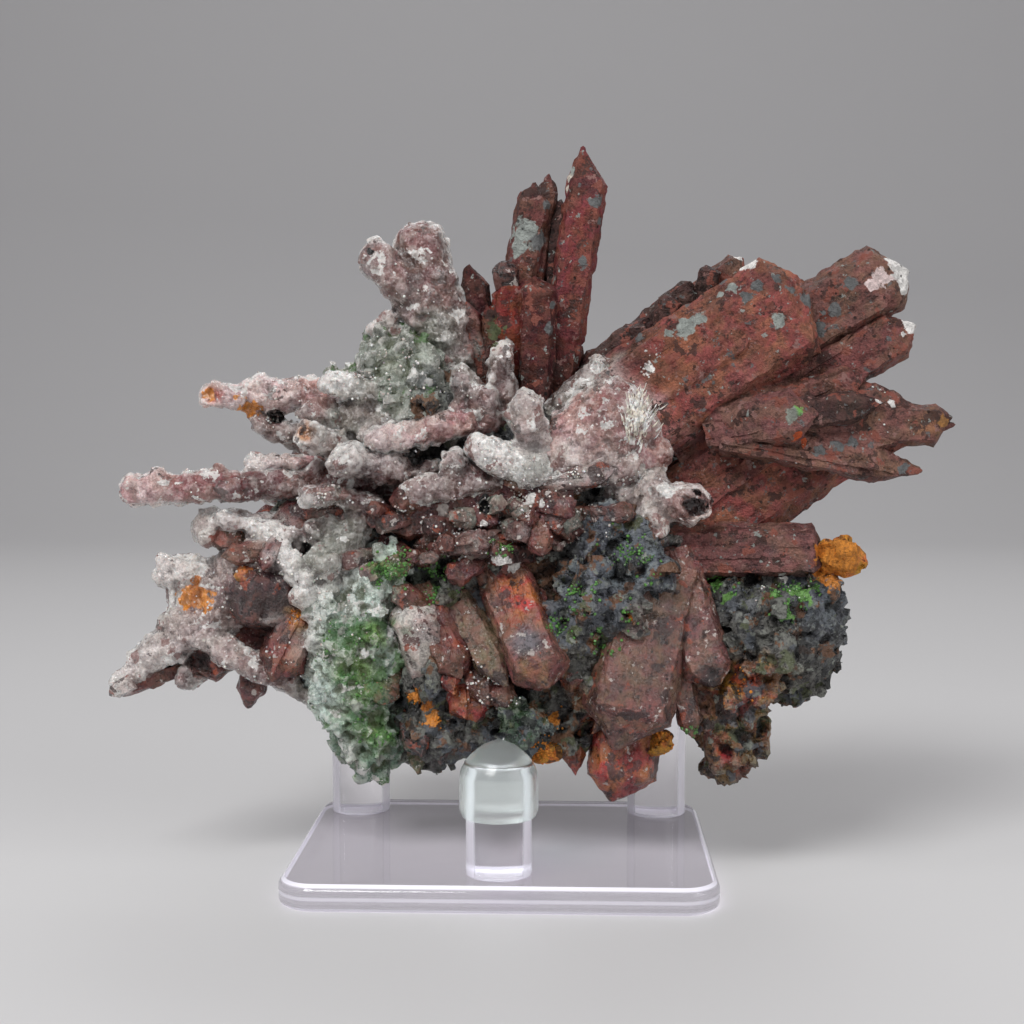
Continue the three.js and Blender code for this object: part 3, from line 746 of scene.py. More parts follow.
# Sizes and heights of a mineral's finest features, in millimetres.
GRAIN_SIZE = 0.4
GRAIN_HEIGHT = 0.16
FINE_HEIGHT = 0.35
STREAK_SIZE = 1.1
STREAK_HEIGHT = 0.3
PATCH_EDGE_SIZE = 1.6
PIT_SPACING = 0.9
PIT_DEPTH = 0.12
HIGHLIGHT_PAINT = (0.93, 0.91, 1.0, 1.0)  # pale colour painted as highlights on the clear plastic's edges and bands


def node(tree, kind, inputs=None, **settings):
    """Adds a node; inputs are values, or other nodes' outputs to link."""
    made = tree.nodes.new(kind)
    for key, value in settings.items():
        setattr(made, key, value)
    for key, value in (inputs or {}).items():
        if isinstance(value, bpy.types.NodeSocket):
            tree.links.new(value, made.inputs[key])
        else:
            made.inputs[key].default_value = value
    return made


def out(tree, kind, inputs=None, **settings):
    """Adds a node and gives its first output."""
    return node(tree, kind, inputs, **settings).outputs[0]


def maths(tree, operation, first, second=0.0, clamp=False):
    return out(tree, "ShaderNodeMath", {0: first, 1: second}, operation=operation, use_clamp=clamp)


def plus(tree, first, second):
    return maths(tree, "ADD", first, second)


def minus(tree, first, second):
    return maths(tree, "SUBTRACT", first, second)


def times(tree, first, second):
    return maths(tree, "MULTIPLY", first, second)


def vectors(tree, operation, first, second):
    """The outputs of a vector operation: the first is a vector, Value is a number."""
    return node(tree, "ShaderNodeVectorMath", {0: first, 1: second}, operation=operation).outputs


def noise(tree, coords, size, detail=4.0, roughness=0.55, turn=0):
    """Noise with features about size millimetres apart, around 0.5; another turn gives another pattern."""
    field = out(tree, "ShaderNodeTexNoise", {
        "Vector": coords, "W": 1.7 * turn, "Scale": 1000 / size, "Detail": detail, "Roughness": roughness,
    }, noise_dimensions="4D", normalize=False)
    return out(tree, "ShaderNodeMath", {0: field, 1: 0.5, 2: 0.5}, operation="MULTIPLY_ADD")


def ramp(tree, value, low, high, start=0.0, end=1.0):
    """Value carried smoothly from low..high to start..end."""
    return out(tree, "ShaderNodeMapRange", {
        "Value": value, "From Min": low, "From Max": high, "To Min": start, "To Max": end,
    }, interpolation_type="SMOOTHSTEP")


def spread(tree, value, start, end):
    """A noise carried from its usual range to start..end."""
    return ramp(tree, value, *NOISE_RANGE, start, end)


def mix(tree, share, first, second):
    return node(tree, "ShaderNodeMix", {0: share, 6: first, 7: second}, data_type="RGBA").outputs[2]


def rgba(name):
    return (*linear(name), 1.0)


def new_material(name):
    """A material without nodes, and its tree."""
    material = bpy.data.materials.new(name)
    material.use_nodes = True
    material.node_tree.nodes.clear()
    return material, material.node_tree


def object_coords(tree):
    return node(tree, "ShaderNodeTexCoord").outputs["Object"]


def own_value(tree, name, output="Fac"):
    """The piece's own attribute of that name."""
    return node(tree, "ShaderNodeAttribute", attribute_name=name).outputs[output]


def tilted_cells(tree, coords, scale):
    """A height whose cells, scale of them in a metre, each lie flat at their own tilt."""
    cells = node(tree, "ShaderNodeTexVoronoi", {"Vector": coords, "Scale": scale}).outputs
    away = vectors(tree, "SUBTRACT", coords, cells["Position"])[0]
    tilt = vectors(tree, "SUBTRACT", cells["Color"], (0.5, 0.5, 0.5))[0]
    return vectors(tree, "DOT_PRODUCT", away, tilt)["Value"]


def mineral(name, ridge_wear_highlight, ridge_wear_highlight_share, roughness, specks, mottle=0.3, mottle_size=2.2, hue=0.02,
            ridge_noise=0.6, hollow=0.6, hollow_shade_colour="pitShade", pits=0.0, streaks=0.0, bump=1.0, facets=1.0,
            facet_size=1.2, coat=0.0, subsurface=0.0, specular=0.5):
    """A mineral surface in the piece's own tint, with light ridges that are partly wear and partly painted
    highlight, painted shade in the hollows, patches and specks.

    Each speck is (colour, size in millimetres, share of the surface). Hollow is how strongly the hollows take
    hollow_shade_colour as painted shade. Streaks follow the crystal's own axes. Pits is the share of the
    surface's cells that are pitted; the pits are painted near-black as painted shade.
    """
    material, tree = new_material(name)
    coords = object_coords(tree)
    tint, relief = own_value(tree, "tint", "Color"), own_value(tree, "relief")
    patch, patch_amount = own_value(tree, "patch", "Color"), own_value(tree, "patch_amount")

    broad = noise(tree, coords, mottle_size * 3, 3)
    fine = noise(tree, coords, mottle_size * 0.6, 4, 0.65)
    grain = noise(tree, coords, GRAIN_SIZE, 2, 0.7)
    sway = mottle * 0.4
    value = plus(tree, spread(tree, broad, 1 - sway, 1 + sway), spread(tree, fine, -sway, sway))
    value = plus(tree, value, spread(tree, grain, -sway, sway))
    height = times(tree, fine, FINE_HEIGHT * MM * bump)
    height = plus(tree, height, times(tree, grain, GRAIN_HEIGHT * MM * bump))
    large = tilted_cells(tree, coords, 1000 / facet_size)
    small = tilted_cells(tree, coords, 1000 / (facet_size * 0.4))
    height = plus(tree, height, times(tree, plus(tree, large, small), facets))
    if streaks:
        streak = noise(tree, own_value(tree, "grown", "Vector"), STREAK_SIZE, 3, 0.6)
        value = plus(tree, value, spread(tree, streak, -streaks * 0.5, streaks * 0.5))
        height = plus(tree, height, times(tree, streak, STREAK_HEIGHT * MM * streaks))
    shift = spread(tree, noise(tree, coords, mottle_size * 1.7, 2), 0.5 - hue, 0.5 + hue)
    colour = out(tree, "ShaderNodeHueSaturation", {"Hue": shift, "Value": value, "Color": tint})

    # Ridges, where the relief stands out, take the colour ridge_wear_highlight: partly wear, partly a painted
    # highlight on each bump and edge.
    worn = plus(tree, relief, ramp(tree, fine, 0.25, 0.75, -ridge_noise, ridge_noise))
    colour = mix(tree, ramp(tree, worn, 0.3, 1.2, 0, ridge_wear_highlight_share), colour, rgba(ridge_wear_highlight))
    for index, (speck_colour, size, share) in enumerate(specks):
        limit = 0.5 + NOISE_SPREAD * NormalDist().inv_cdf(1 - share)
        field = noise(tree, coords, size * 2, 4, 0.62, index + 1)
        spot = ramp(tree, field, limit - 0.015, limit + 0.04, 0, 0.85)
        colour = mix(tree, spot, colour, rgba(speck_colour))
    uneven = ramp(tree, noise(tree, coords, PATCH_EDGE_SIZE, 3, 0.6), 0.2, 0.8, -0.13, 0.13)
    edge = ramp(tree, plus(tree, patch_amount, uneven), 0.46, 0.58)
    mottled = spread(tree, fine, 0.75, 1.15)
    patch = out(tree, "ShaderNodeHueSaturation", {"Value": mottled, "Color": patch})
    colour = mix(tree, edge, colour, patch)
    # Pits: small dents in the bump, each painted near-black as painted shade.
    if pits:
        holes = node(tree, "ShaderNodeTexVoronoi", {"Vector": coords, "Scale": 1000 / PIT_SPACING}).outputs
        chance = out(tree, "ShaderNodeSeparateColor", {0: holes["Color"]})
        hole = maths(tree, "LESS_THAN", holes["Distance"], ramp(tree, chance, 0.0, pits, 0.42, 0.0))
        colour = mix(tree, times(tree, hole, 0.75), colour, rgba("pitShade"))
        height = minus(tree, height, times(tree, hole, PIT_DEPTH * MM))
    # Painted shade: where the relief sinks into hollows the colour goes towards hollow_shade_colour, less
    # where a patch lies.
    painted_hollow_shade = plus(tree, relief, ramp(tree, fine, 0.25, 0.75, -0.3, 0.3))
    painted_hollow_shade = ramp(tree, painted_hollow_shade, -1.0, 0.05, hollow, 0)
    painted_hollow_shade = times(tree, painted_hollow_shade, minus(tree, 1.0, times(tree, edge, 0.8)))
    colour = mix(tree, painted_hollow_shade, colour, rgba(hollow_shade_colour))

    gloss = spread(tree, fine, *roughness)
    lifted = out(tree, "ShaderNodeBump", {"Strength": 1.0, "Distance": 1.0, "Height": height})
    surface = out(tree, "ShaderNodeBsdfPrincipled", {
        "Base Color": colour, "Roughness": gloss, "Normal": lifted, "Specular IOR Level": specular,
        "Coat Weight": coat, "Coat Roughness": 0.12, "Coat Normal": lifted, "Subsurface Weight": subsurface,
        "Subsurface Scale": 0.0016, "Subsurface Radius": (1.0, 0.75, 0.65),
    })
    node(tree, "ShaderNodeOutputMaterial", {"Surface": surface})
    return material


def clear_plastic(name, colour, roughness, transmission, ior=1.49, smear=0.0, smear_size=8.0, highlight_bands=(),
                  edge=0.0):
    """A clear or cloudy moulded plastic, with faint smears in its polish.

    highlight_bands holds flat bands of painted highlight, a pale lamp-lit layer mixed into the clear surface:
    height, half width and strength, heights in millimetres. Edge is how strongly a round rod's sides, where
    they turn from the view, take the same painted highlight.
    """
    material, tree = new_material(name)
    coords = object_coords(tree)
    gloss = ramp(tree, noise(tree, coords, smear_size, 3), 0.35, 0.7, roughness, roughness + smear)
    surface = out(tree, "ShaderNodeBsdfPrincipled", {
        "Base Color": (*colour, 1.0), "Roughness": gloss, "IOR": ior, "Transmission Weight": transmission,
    })
    # Painted highlights: a pale, lamp-lit layer is mixed in at the bands' heights and at a round rod's
    # grazing sides.
    if highlight_bands:
        painted_highlight = out(tree, "ShaderNodeBsdfPrincipled", {"Base Color": HIGHLIGHT_PAINT, "Roughness": 0.25})
        height = node(tree, "ShaderNodeSeparateXYZ", {0: coords}).outputs[2]
        facing = node(tree, "ShaderNodeNewGeometry").outputs["Normal"]
        side = maths(tree, "ABSOLUTE", node(tree, "ShaderNodeSeparateXYZ", {0: facing}).outputs[2])
        share = 0.0
        for level, half, strength in highlight_bands:
            away = maths(tree, "ABSOLUTE", minus(tree, height, level * MM))
            share = plus(tree, share, ramp(tree, away, half * MM * 0.4, half * MM, strength, 0.0))
        share = maths(tree, "MULTIPLY", share, ramp(tree, side, 0.93, 0.99, 1.0, 0.0), clamp=True)
        grazing = node(tree, "ShaderNodeLayerWeight", {"Blend": 0.5}).outputs["Facing"]
        share = maths(tree, "MAXIMUM", share, ramp(tree, grazing, 0.3, 0.42, 0.0, edge))
        surface = out(tree, "ShaderNodeMixShader", {0: share, 1: surface, 2: painted_highlight})
    lets_through = out(tree, "ShaderNodeBsdfTransparent", {"Color": (*colour, 1.0)})
    from_lamp = node(tree, "ShaderNodeLightPath").outputs["Is Shadow Ray"]
    both = out(tree, "ShaderNodeMixShader", {0: from_lamp, 1: surface, 2: lets_through})
    node(tree, "ShaderNodeOutputMaterial", {"Surface": both})
    return material


def new_geometry_tree(name, numbers):
    """A Geometry Nodes tree that takes a surface, some numbers and a material."""
    tree = bpy.data.node_groups.new(name, "GeometryNodeTree")
    tree.is_modifier = True
    new_socket = tree.interface.new_socket
    new_socket("Geometry", in_out="INPUT", socket_type="NodeSocketGeometry")
    for label, default in numbers.items():
        kind = "NodeSocketInt" if isinstance(default, int) else "NodeSocketFloat"
        new_socket(label, in_out="INPUT", socket_type=kind).default_value = default
    new_socket("Material", in_out="INPUT", socket_type="NodeSocketMaterial")
    new_socket("Geometry", in_out="OUTPUT", socket_type="NodeSocketGeometry")
    return tree, node(tree, "NodeGroupInput").outputs


def close_geometry_tree(tree, given, geometry):
    """Ends the tree with real geometry in the material that it was given."""
    real = out(tree, "GeometryNodeRealizeInstances", {"Geometry": geometry})
    dressed = out(tree, "GeometryNodeSetMaterial", {"Geometry": real, "Material": given["Material"]})
    node(tree, "NodeGroupOutput", {"Geometry": dressed})
    return tree


def relief_tree():
    """Pushes a surface in and out by two sizes of noise, by rounded beads and by broken facets."""
    tree, given = new_geometry_tree("Mineral relief", {
        "Lump size": 4.0, "Lump height": 0.5, "Grain size": 1.5, "Grain height": 0.2, "Bead size": 2.5,
        "Bead height": 0.0, "Facet size": 4.0, "Facet tilt": 0.0, "Seed": 1.0,
    })
    shift = out(tree, "ShaderNodeCombineXYZ", {"X": times(tree, given["Seed"], 0.37)})
    spot = vectors(tree, "ADD", out(tree, "GeometryNodeInputPosition"), shift)[0]

    def scale(size):
        return maths(tree, "DIVIDE", 1000.0, size)

    def waves(size, height, detail):
        field = out(tree, "ShaderNodeTexNoise", {
            "Vector": spot, "Scale": scale(size), "Detail": detail, "Roughness": 0.6,
        }, normalize=False)
        return times(tree, times(tree, field, MM), height)

    domes = node(tree, "ShaderNodeTexVoronoi", {"Vector": spot, "Scale": scale(given["Bead size"])})
    away = domes.outputs["Distance"]
    dome = minus(tree, 0.4, times(tree, away, away))
    bead = times(tree, times(tree, dome, MM), given["Bead height"])
    lean = tilted_cells(tree, spot, scale(given["Facet size"]))
    push = plus(tree, waves(given["Lump size"], given["Lump height"], 2.0),
                waves(given["Grain size"], given["Grain height"], 3.0))
    push = plus(tree, plus(tree, push, bead), times(tree, lean, given["Facet tilt"]))
    normal = out(tree, "GeometryNodeInputNormal")
    offset = out(tree, "ShaderNodeVectorMath", {0: normal, "Scale": push}, operation="SCALE")
    moved = out(tree, "GeometryNodeSetPosition", {"Geometry": given["Geometry"], "Offset": offset})
    return close_geometry_tree(tree, given, moved)


def scatter_tree():
    """Scatters small six-sided crystals where the surface's mask is high."""
    tree, given = new_geometry_tree("Small crystals", {
        "Density": 1.0, "Smallest": 0.3, "Largest": 0.8, "Slenderness": 1.4, "Tilt": 0.7, "Seed": 1,
    })
    mask = out(tree, "GeometryNodeInputNamedAttribute", {"Name": "mask"}, data_type="FLOAT")
    per_area = times(tree, times(tree, given["Density"], 1.0 / (MM * MM)), mask)
    spots = node(tree, "GeometryNodeDistributePointsOnFaces", {
        "Mesh": given["Geometry"], "Density": per_area, "Seed": given["Seed"],
    }, distribute_method="RANDOM").outputs
    tall = times(tree, given["Slenderness"], MM)
    cone = out(tree, "GeometryNodeMeshCone", {
        "Vertices": 6, "Side Segments": 2, "Radius Top": 0.0, "Radius Bottom": 0.5 * MM, "Depth": tall,
    }, fill_type="TRIANGLE_FAN")
    spot = out(tree, "GeometryNodeInputPosition")
    height = maths(tree, "DIVIDE", node(tree, "ShaderNodeSeparateXYZ", {0: spot}).outputs[2], tall)
    shoulder = times(tree, maths(tree, "GREATER_THAN", height, 0.2), maths(tree, "LESS_THAN", height, 0.8))
    widened = vectors(tree, "MULTIPLY", spot, (1.15, 1.15, 0.3))[0]
    crystal = out(tree, "GeometryNodeSetPosition", {
        "Geometry": cone, "Selection": shoulder, "Offset": widened,
    })
    lean = out(tree, "FunctionNodeRandomValue", {
        0: (-1.0, -1.0, -3.1), 1: (1.0, 1.0, 3.1), "Seed": given["Seed"],
    }, data_type="FLOAT_VECTOR")
    tilt = out(tree, "ShaderNodeCombineXYZ", {"X": given["Tilt"], "Y": given["Tilt"], "Z": 1.0})
    turn = out(tree, "FunctionNodeEulerToRotation", {0: vectors(tree, "MULTIPLY", lean, tilt)[0]})
    turned = out(tree, "FunctionNodeRotateRotation", {0: spots["Rotation"], 1: turn}, rotation_space="LOCAL")
    size = node(tree, "FunctionNodeRandomValue", {
        2: given["Smallest"], 3: given["Largest"], "Seed": given["Seed"],
    }, data_type="FLOAT").outputs[1]
    set_out = out(tree, "GeometryNodeInstanceOnPoints", {
        "Points": spots["Points"], "Instance": crystal, "Rotation": turned, "Scale": size,
    })
    return close_geometry_tree(tree, given, set_out)


# ---- Hollows, washes of colour and patches ----

# Each row starts with the place on the front and a radius: across, up, radius. Then come, for a hollow its
# depth, for a soft wash of colour its colour and strength, for a patch with a clear edge its colour, and for
# small crystals how closely they sit.
HOLLOW_SEED, WASH_SEED, PATCH_SEED, ZONE_SEED = 900, 1100, 1500, 700
HOLLOWS = (
    (-56.5, 92, 1.7, 1.6), (-49, 89.5, 2.6, 1), (-60.2, 51.8, 3.2, 1.2), (-59.5, 39.6, 3, 2.6),
    (-3.5, 70.4, 2, 3.4), (-17, 79.6, 3.2, 4), (37, 70.6, 2.9, 4.4), (-25.6, 119.4, 1, 1),
    (-38.4, 84.6, 1.9, 2), (-44, 87.6, 2, 2.2), (48, 56, 2.6, 2.4), (43.4, 23.4, 1.6, 1.6),
    (21, 63, 2, 1.6), (12, 49, 2, 1.6), (-55.4, 64.6, 1.9, 1),
)

WASHES = (
    (33, 99, 7, "orangeRed", 0.35), (42, 101, 8, "rustRed", 0.4), (24, 101, 8, "rustDark", 0.5),
    (42, 111, 4, "rustDark", 0.6), (51, 114, 4, "rustDark", 0.5), (68, 110, 9, "rustBrown", 0.4),
    (47, 92, 7, "mauveRed", 0.5), (60, 94, 7, "rustDark", 0.4), (82, 86.4, 3, "ochrePale", 0.4),
    (58, 70, 10, "rustBrown", 0.5), (38, 70, 9, "rustRed", 0.4), (11, 96, 7, "darkRed", 0.8),
    (5, 95, 6, "darkRed", 0.8), (0, 97, 4, "darkRed", 0.7), (1, 107, 3.4, "orangeRed", 0.35),
    (7, 104, 4, "darkRed", 0.4), (16, 132, 4, "rustDark", 0.6), (6, 131, 3, "rustDark", 0.4),
    (6, 112, 3, "rustDark", 0.4), (33, 82, 6, "rustDark", 0.5), (45, 78, 6, "rustDark", 0.35),
    (-21, 116, 5, "blushed", 0.7), (-20, 110, 3, "brown", 0.5), (-17, 118, 3, "brown", 0.4),
    (-12, 104, 6, "druseGrey", 0.7), (-10, 97, 6, "druseGrey", 0.6), (-22, 97, 4, "olive", 0.35),
    (-14, 94, 4, "rockBlue", 0.6), (-14, 89, 5, "druseGrey", 0.6), (-20, 92, 5, "druseGrey", 0.5),
    (-56.5, 92, 2.2, "orange", 0.8), (-44, 92.4, 6, "pinkWhite", 0.4), (-35, 92, 4, "pink", 0.6),
    (-24, 74.5, 7, "wine", 0.8), (-35, 74.6, 5, "wine", 0.8), (-48, 73.6, 6, "wine", 0.75),
    (-54, 73.6, 4, "deepRust", 0.5), (-70, 73.5, 5, "pinkWhite", 0.5), (-38.6, 84.6, 2, "ochre", 0.8),
    (-20, 84, 5, "pinkWhite", 0.4), (-14, 85, 4, "pink", 0.5), (-16, 67, 4, "darkWine", 0.4),
    (2, 68, 4, "darkWine", 0.4), (-10, 67, 4, "rust", 0.4), (3.4, 52.6, 4.4, "orange", 0.9),
    (1, 55.4, 2.6, "orange", 0.9), (4.6, 44, 3.6, "rockBlue", 0.8), (5.6, 39, 3, "ochrePale", 0.6),
    (-4, 46, 5, "smoky", 0.6), (-3, 34, 4, "brown", 0.6), (-10, 44, 3, "orangeRed", 0.3),
    (-11, 50, 4, "wine", 0.4), (16.5, 28.5, 3, "orange", 0.8), (24, 42, 9, "smooth", 0.5),
    (26, 30, 5, "rustRed", 0.4), (41, 37, 3.4, "rockDark", 0.9), (20, 19.5, 3, "orange", 0.6),
    (26, 15, 3.4, "wine", 0.6), (15, 34, 3, "ochrePale", 0.3), (48, 34, 7, "rockBrown", 0.9),
    (46, 36, 4, "amber", 0.8), (50, 39, 3, "ochrePale", 0.8), (47, 31, 4, "rust", 0.7),
    (46, 24, 6, "rockBrown", 0.85), (43, 22.6, 2, "orange", 0.7), (20, 66, 7, "rockBlue", 0.5),
    (22, 56, 7, "rockBlue", 0.5), (12, 62, 5, "rockDark", 0.5), (60, 50, 8, "rockBlue", 0.6),
    (62, 44, 5, "rockDark", 0.4), (46, 51, 5, "rockBlue", 0.5), (48, 56, 5, "rockDark", 0.6),
    (-14, 94.6, 3, "rockDark", 0.5), (-8, 78, 3, "darkWine", 0.6), (-27, 76.6, 3, "darkWine", 0.5),
    (-38, 44, 5, "white", 0.5), (-35, 33, 5, "frost", 0.8), (-31, 22, 4, "white", 0.4),
    (-31, 57, 6, "white", 0.5), (-39, 50, 5, "white", 0.5), (-31, 44, 5, "green", 0.9),
    (-28, 37, 6, "green", 0.95), (-27, 29, 6, "green", 0.9), (-25, 46, 4, "green", 0.8),
    (-30, 38, 4, "leaf", 0.6), (-26, 33, 4, "green", 0.8), (-26, 46, 3, "leaf", 0.8),
    (-25, 25, 3, "leaf", 0.6), (-33, 46, 3, "green", 0.8), (-24, 32, 3, "deepGreen", 0.6),
    (-22, 40, 4, "deepGreen", 0.5), (-21, 57, 4, "green", 0.8), (-24, 59, 2.6, "leaf", 0.6),
    (-24, 53, 4, "frost", 0.6), (-33, 64, 7, "druseGrey", 0.6), (-56, 58, 5, "mauve", 0.3),
    (-49, 52, 5, "plum", 0.7), (-43, 60, 3, "white", 0.7), (-39.6, 55, 3, "white", 0.7),
    (-46, 66, 4, "white", 0.5), (-43, 41, 5, "rustRed", 0.7), (-40, 46, 4, "brown", 0.6),
    # At (-59.5, 39.6) the darkWine wash is partly the red crystal end's own colour, partly painted shade in
    # the cavity there.
    (-40, 48.5, 2.4, "ochre", 0.8), (-70, 35.8, 3.5, "brownRed", 0.8), (-59.5, 39.6, 3.6, "darkWine", 0.9),
    (-77, 33.4, 2.8, "white", 0.95), (2, 27, 4, "deepGreen", 0.8), (8, 27, 4, "rockBlue", 0.6),
    (-15, 56, 4, "deepGreen", 0.5), (19, 96, 5, "pale", 0.6), (14, 84, 6, "pinkWhite", 0.3),
    (22, 86, 7, "blushed", 0.5), (27, 89.4, 4.6, "pinkWhite", 0.6), (12, 78, 5, "white", 0.4),
    (20, 78, 4, "white", 0.35), (29, 82, 4, "pink", 0.4), (14, 78, 5, "pale", 0.5),
    (6, 78, 5, "druseGrey", 0.6), (34, 84, 4, "pink", 0.4),
)

PATCHES = (
    (14.6, 138.8, 0.8, "white"), (13.6, 137, 1.1, "paleGrey"), (13, 134.5, 1, "paleGrey"),
    (74.8, 116.4, 2.6, "white"), (76, 114.6, 2.2, "white"), (76.2, 112.2, 1.6, "white"),
    (71.4, 114.4, 1.7, "pinkWhite"), (69.8, 112.6, 1.2, "pinkWhite"), (77.2, 105.6, 2, "white"),
    (76.6, 107.6, 0.8, "white"), (46.6, 116.8, 1.8, "white"), (44.6, 118, 0.9, "white"),
    (34.4, 105, 2, "paleGrey"), (37.4, 106.6, 1.3, "paleGrey"), (31.6, 103.6, 1, "paleGrey"),
    (43.4, 112.4, 1, "paleGrey"), (41.2, 110.8, 0.8, "paleGrey"), (48, 113, 1.2, "greyBlue"),
    (52, 114, 1, "greyBlue"), (46, 110.6, 1.2, "greyBlue"), (55, 112, 1, "greyBlue"),
    (26, 103, 1, "greyBlue"), (52.4, 106, 1.5, "paleGrey"), (58, 110, 1.8, "greyBlue"),
    (60, 104.6, 1.6, "greyBlue"), (66, 113, 1.3, "greyBlue"), (63, 108, 1.2, "greyBlue"),
    (3.8, 122.6, 2.6, "paleGrey"), (3, 119.8, 1.7, "paleGrey"), (6.8, 121.4, 1.8, "greyBlue"),
    (8.6, 128, 1.2, "greyBlue"), (17.6, 128.6, 1.3, "greyBlue"), (18.4, 125, 0.9, "greyBlue"),
    (12.5, 133.2, 0.8, "cream"), (12.2, 131, 0.8, "cream"), (9.4, 109, 1, "greyBlue"),
    (9, 104.6, 1.1, "greyBlue"), (15, 117.6, 1, "greyBlue"), (-1.6, 104.4, 1.7, "olive"),
    (-1.9, 101.8, 0.9, "olive"), (-2.6, 107.4, 1.4, "rustDark"), (55.4, 88.2, 1.5, "druseGrey"),
    (56.4, 89, 0.9, "leaf"), (57, 53.6, 2.3, "leaf"), (52.4, 53.8, 1.2, "leaf"), (55, 50, 1.7, "leaf"),
    (40.8, 55.8, 1.4, "leaf"), (43, 53, 1.2, "leaf"), (24, 61, 1.6, "rockBlue"),
    (56.4, 84.2, 1.2, "orange"), (57.6, 82.8, 0.9, "orange"), (84, 86.8, 1.4, "ochrePale"),
    (85.4, 87.2, 0.7, "white"), (74, 90.4, 0.8, "white"), (71.6, 91, 0.8, "white"),
    (64, 82.4, 1.2, "greyBlue"), (67, 82.8, 1.1, "greyBlue"), (60.6, 81.6, 1.2, "greyBlue"),
    (76.6, 78, 1.2, "greyBlue"), (-49.4, 89.6, 2.2, "ochre"), (-60.4, 52.6, 2.8, "amber"),
    (-61.8, 52.2, 2, "ochre"), (-58.8, 51.8, 2, "ochre"), (-57, 92.4, 1.3, "ochre"),
    (-55.6, 64.6, 1.7, "rustRed"), (-17, 33.4, 1.5, "ochre"), (-14, 28.8, 1.5, "ochre"),
    (-15.2, 31.6, 1, "amber"), (10, 29, 1.4, "ochre"), (24.6, 49.2, 1.1, "amber"),
    (64.8, 60.4, 4.6, "ochre"), (61.4, 62, 1.5, "amber"), (54, 57, 0.9, "white"), (0.2, 59.2, 1.8, "white"),
    # The pitShade patches paint near-black shade into the deepest hollows and gaps.
    (1.8, 58.8, 1.2, "white"), (-1.8, 60, 1, "white"), (-17, 79.8, 3, "pitShade"), (-3.5, 70.4, 1.9, "pitShade"),
    (-25.6, 119.4, 0.8, "pitShade"), (-44, 87.6, 1.8, "pitShade"), (48, 56, 1.8, "pitShade"), (37, 70.6, 2.7, "darkWine"),
    (44.2, 23.2, 1.2, "pitShade"), (10.4, 58.4, 1.2, "pitShade"), (21, 63, 1.2, "pitShade"), (-31, 95, 2.2, "white"),
    (-34, 93, 1.4, "white"), (18.4, 97.2, 1.6, "white"), (28, 97, 1, "white"), (0.4, 82, 2, "white"),
    (-3, 82.4, 1.6, "white"), (2.6, 79.6, 1.6, "white"), (3, 76.4, 1.3, "white"), (5, 72, 1.4, "white"),
    (7.4, 71, 0.9, "white"), (10, 76.8, 1.2, "white"), (-12, 70, 1.2, "pale"), (-4, 67, 1, "white"),
    (-18, 54, 1.9, "rust"), (-22, 46, 0.9, "white"), (27, 76.4, 1.8, "pale"), (31.4, 74, 2, "white"),
)

WHITE_DRUSE = (
    (5, 72.5, 6, 0.8), (-6, 68.4, 8, 0.5), (13, 76.4, 7, 0.6), (0, 81, 6, 0.8), (-35, 72.6, 7, 1),
    (-17, 71, 7, 0.4), (24, 76, 6, 0.7), (-20, 96, 9, 0.5), (-9, 94, 6, 0.5), (-30, 94.6, 6, 0.9),
    (18, 96.6, 5, 0.8), (27, 97, 4, 0.5), (-20, 47, 6, 0.5), (-43, 42, 6, 0.3), (-3, 34, 5, 0.9),
    (-7, 40, 4, 0.4), (0, 59.4, 3, 1.2), (15, 68, 8, 0.25), (-16, 112, 8, 0.3), (-60, 76, 8, 0.4),
    (-44, 60, 9, 0.35), (-58, 52, 8, 0.3), (54, 54, 8, 0.15), (74, 90, 5, 0.2), (58, 83, 7, 0.15),
    (-42, 91, 9, 0.3), (-20, 84, 7, 0.3), (14, 88, 8, 0.25), (-50, 40, 6, 0.3), (-32, 50, 9, 0.35),
)
GREEN_DRUSE = (
    (-12, 58.6, 4, 0.9), (-22, 58.4, 5, 1), (-1, 62, 3.6, 0.8), (15, 52, 4, 0.7), (20.4, 43.6, 4, 1),
    (24.4, 62, 3.6, 0.9), (28, 58, 3, 0.8), (10, 47, 3, 0.5), (40.6, 56, 3, 0.5), (43.4, 52.6, 2.6, 0.4),
    (52, 54, 2.6, 0.5), (56.6, 54, 4, 0.6), (54.6, 49.4, 3, 0.5), (-33, 44, 4, 0.15), (-26, 45, 4, 0.2),
    (-29, 35, 4, 0.15), (-25, 26, 4, 0.3), (-13, 53, 3, 0.5), (37.4, 26, 3, 0.6), (56, 88.4, 1.6, 0.5),
    (23.6, 50, 3, 0.5),
)
OCHRE_DRUSE = (
    (64.8, 59, 4, 0.2), (-17, 33.4, 2.2, 0.7), (-14, 28.8, 2.2, 0.7), (7.6, 22.4, 3.4, 0.8),
    (31, 24.4, 3, 0.9), (47, 36, 4, 0.15), (10, 29, 2, 0.4), (-40, 48.5, 2.2, 0.6),
)


def cluster_pieces():
    return [item for item in bpy.data.objects
            if item.get("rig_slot") == "quartz" and not item.name.startswith(CLUSTER)]


def triangles_of(mesh):
    mesh.calc_loop_triangles()
    return read(mesh.loop_triangles, "vertices", 3, np.int32)


def whole_skin(pieces):
    """All the pieces' corners and triangles together, in millimetres."""
    points, triangles, start = [], [], 0
    for piece in pieces:
        own = positions(piece.data)
        points.append(own)
        triangles.append(triangles_of(piece.data) + start)
        start += len(own)
    return np.vstack(points), np.vstack(triangles)


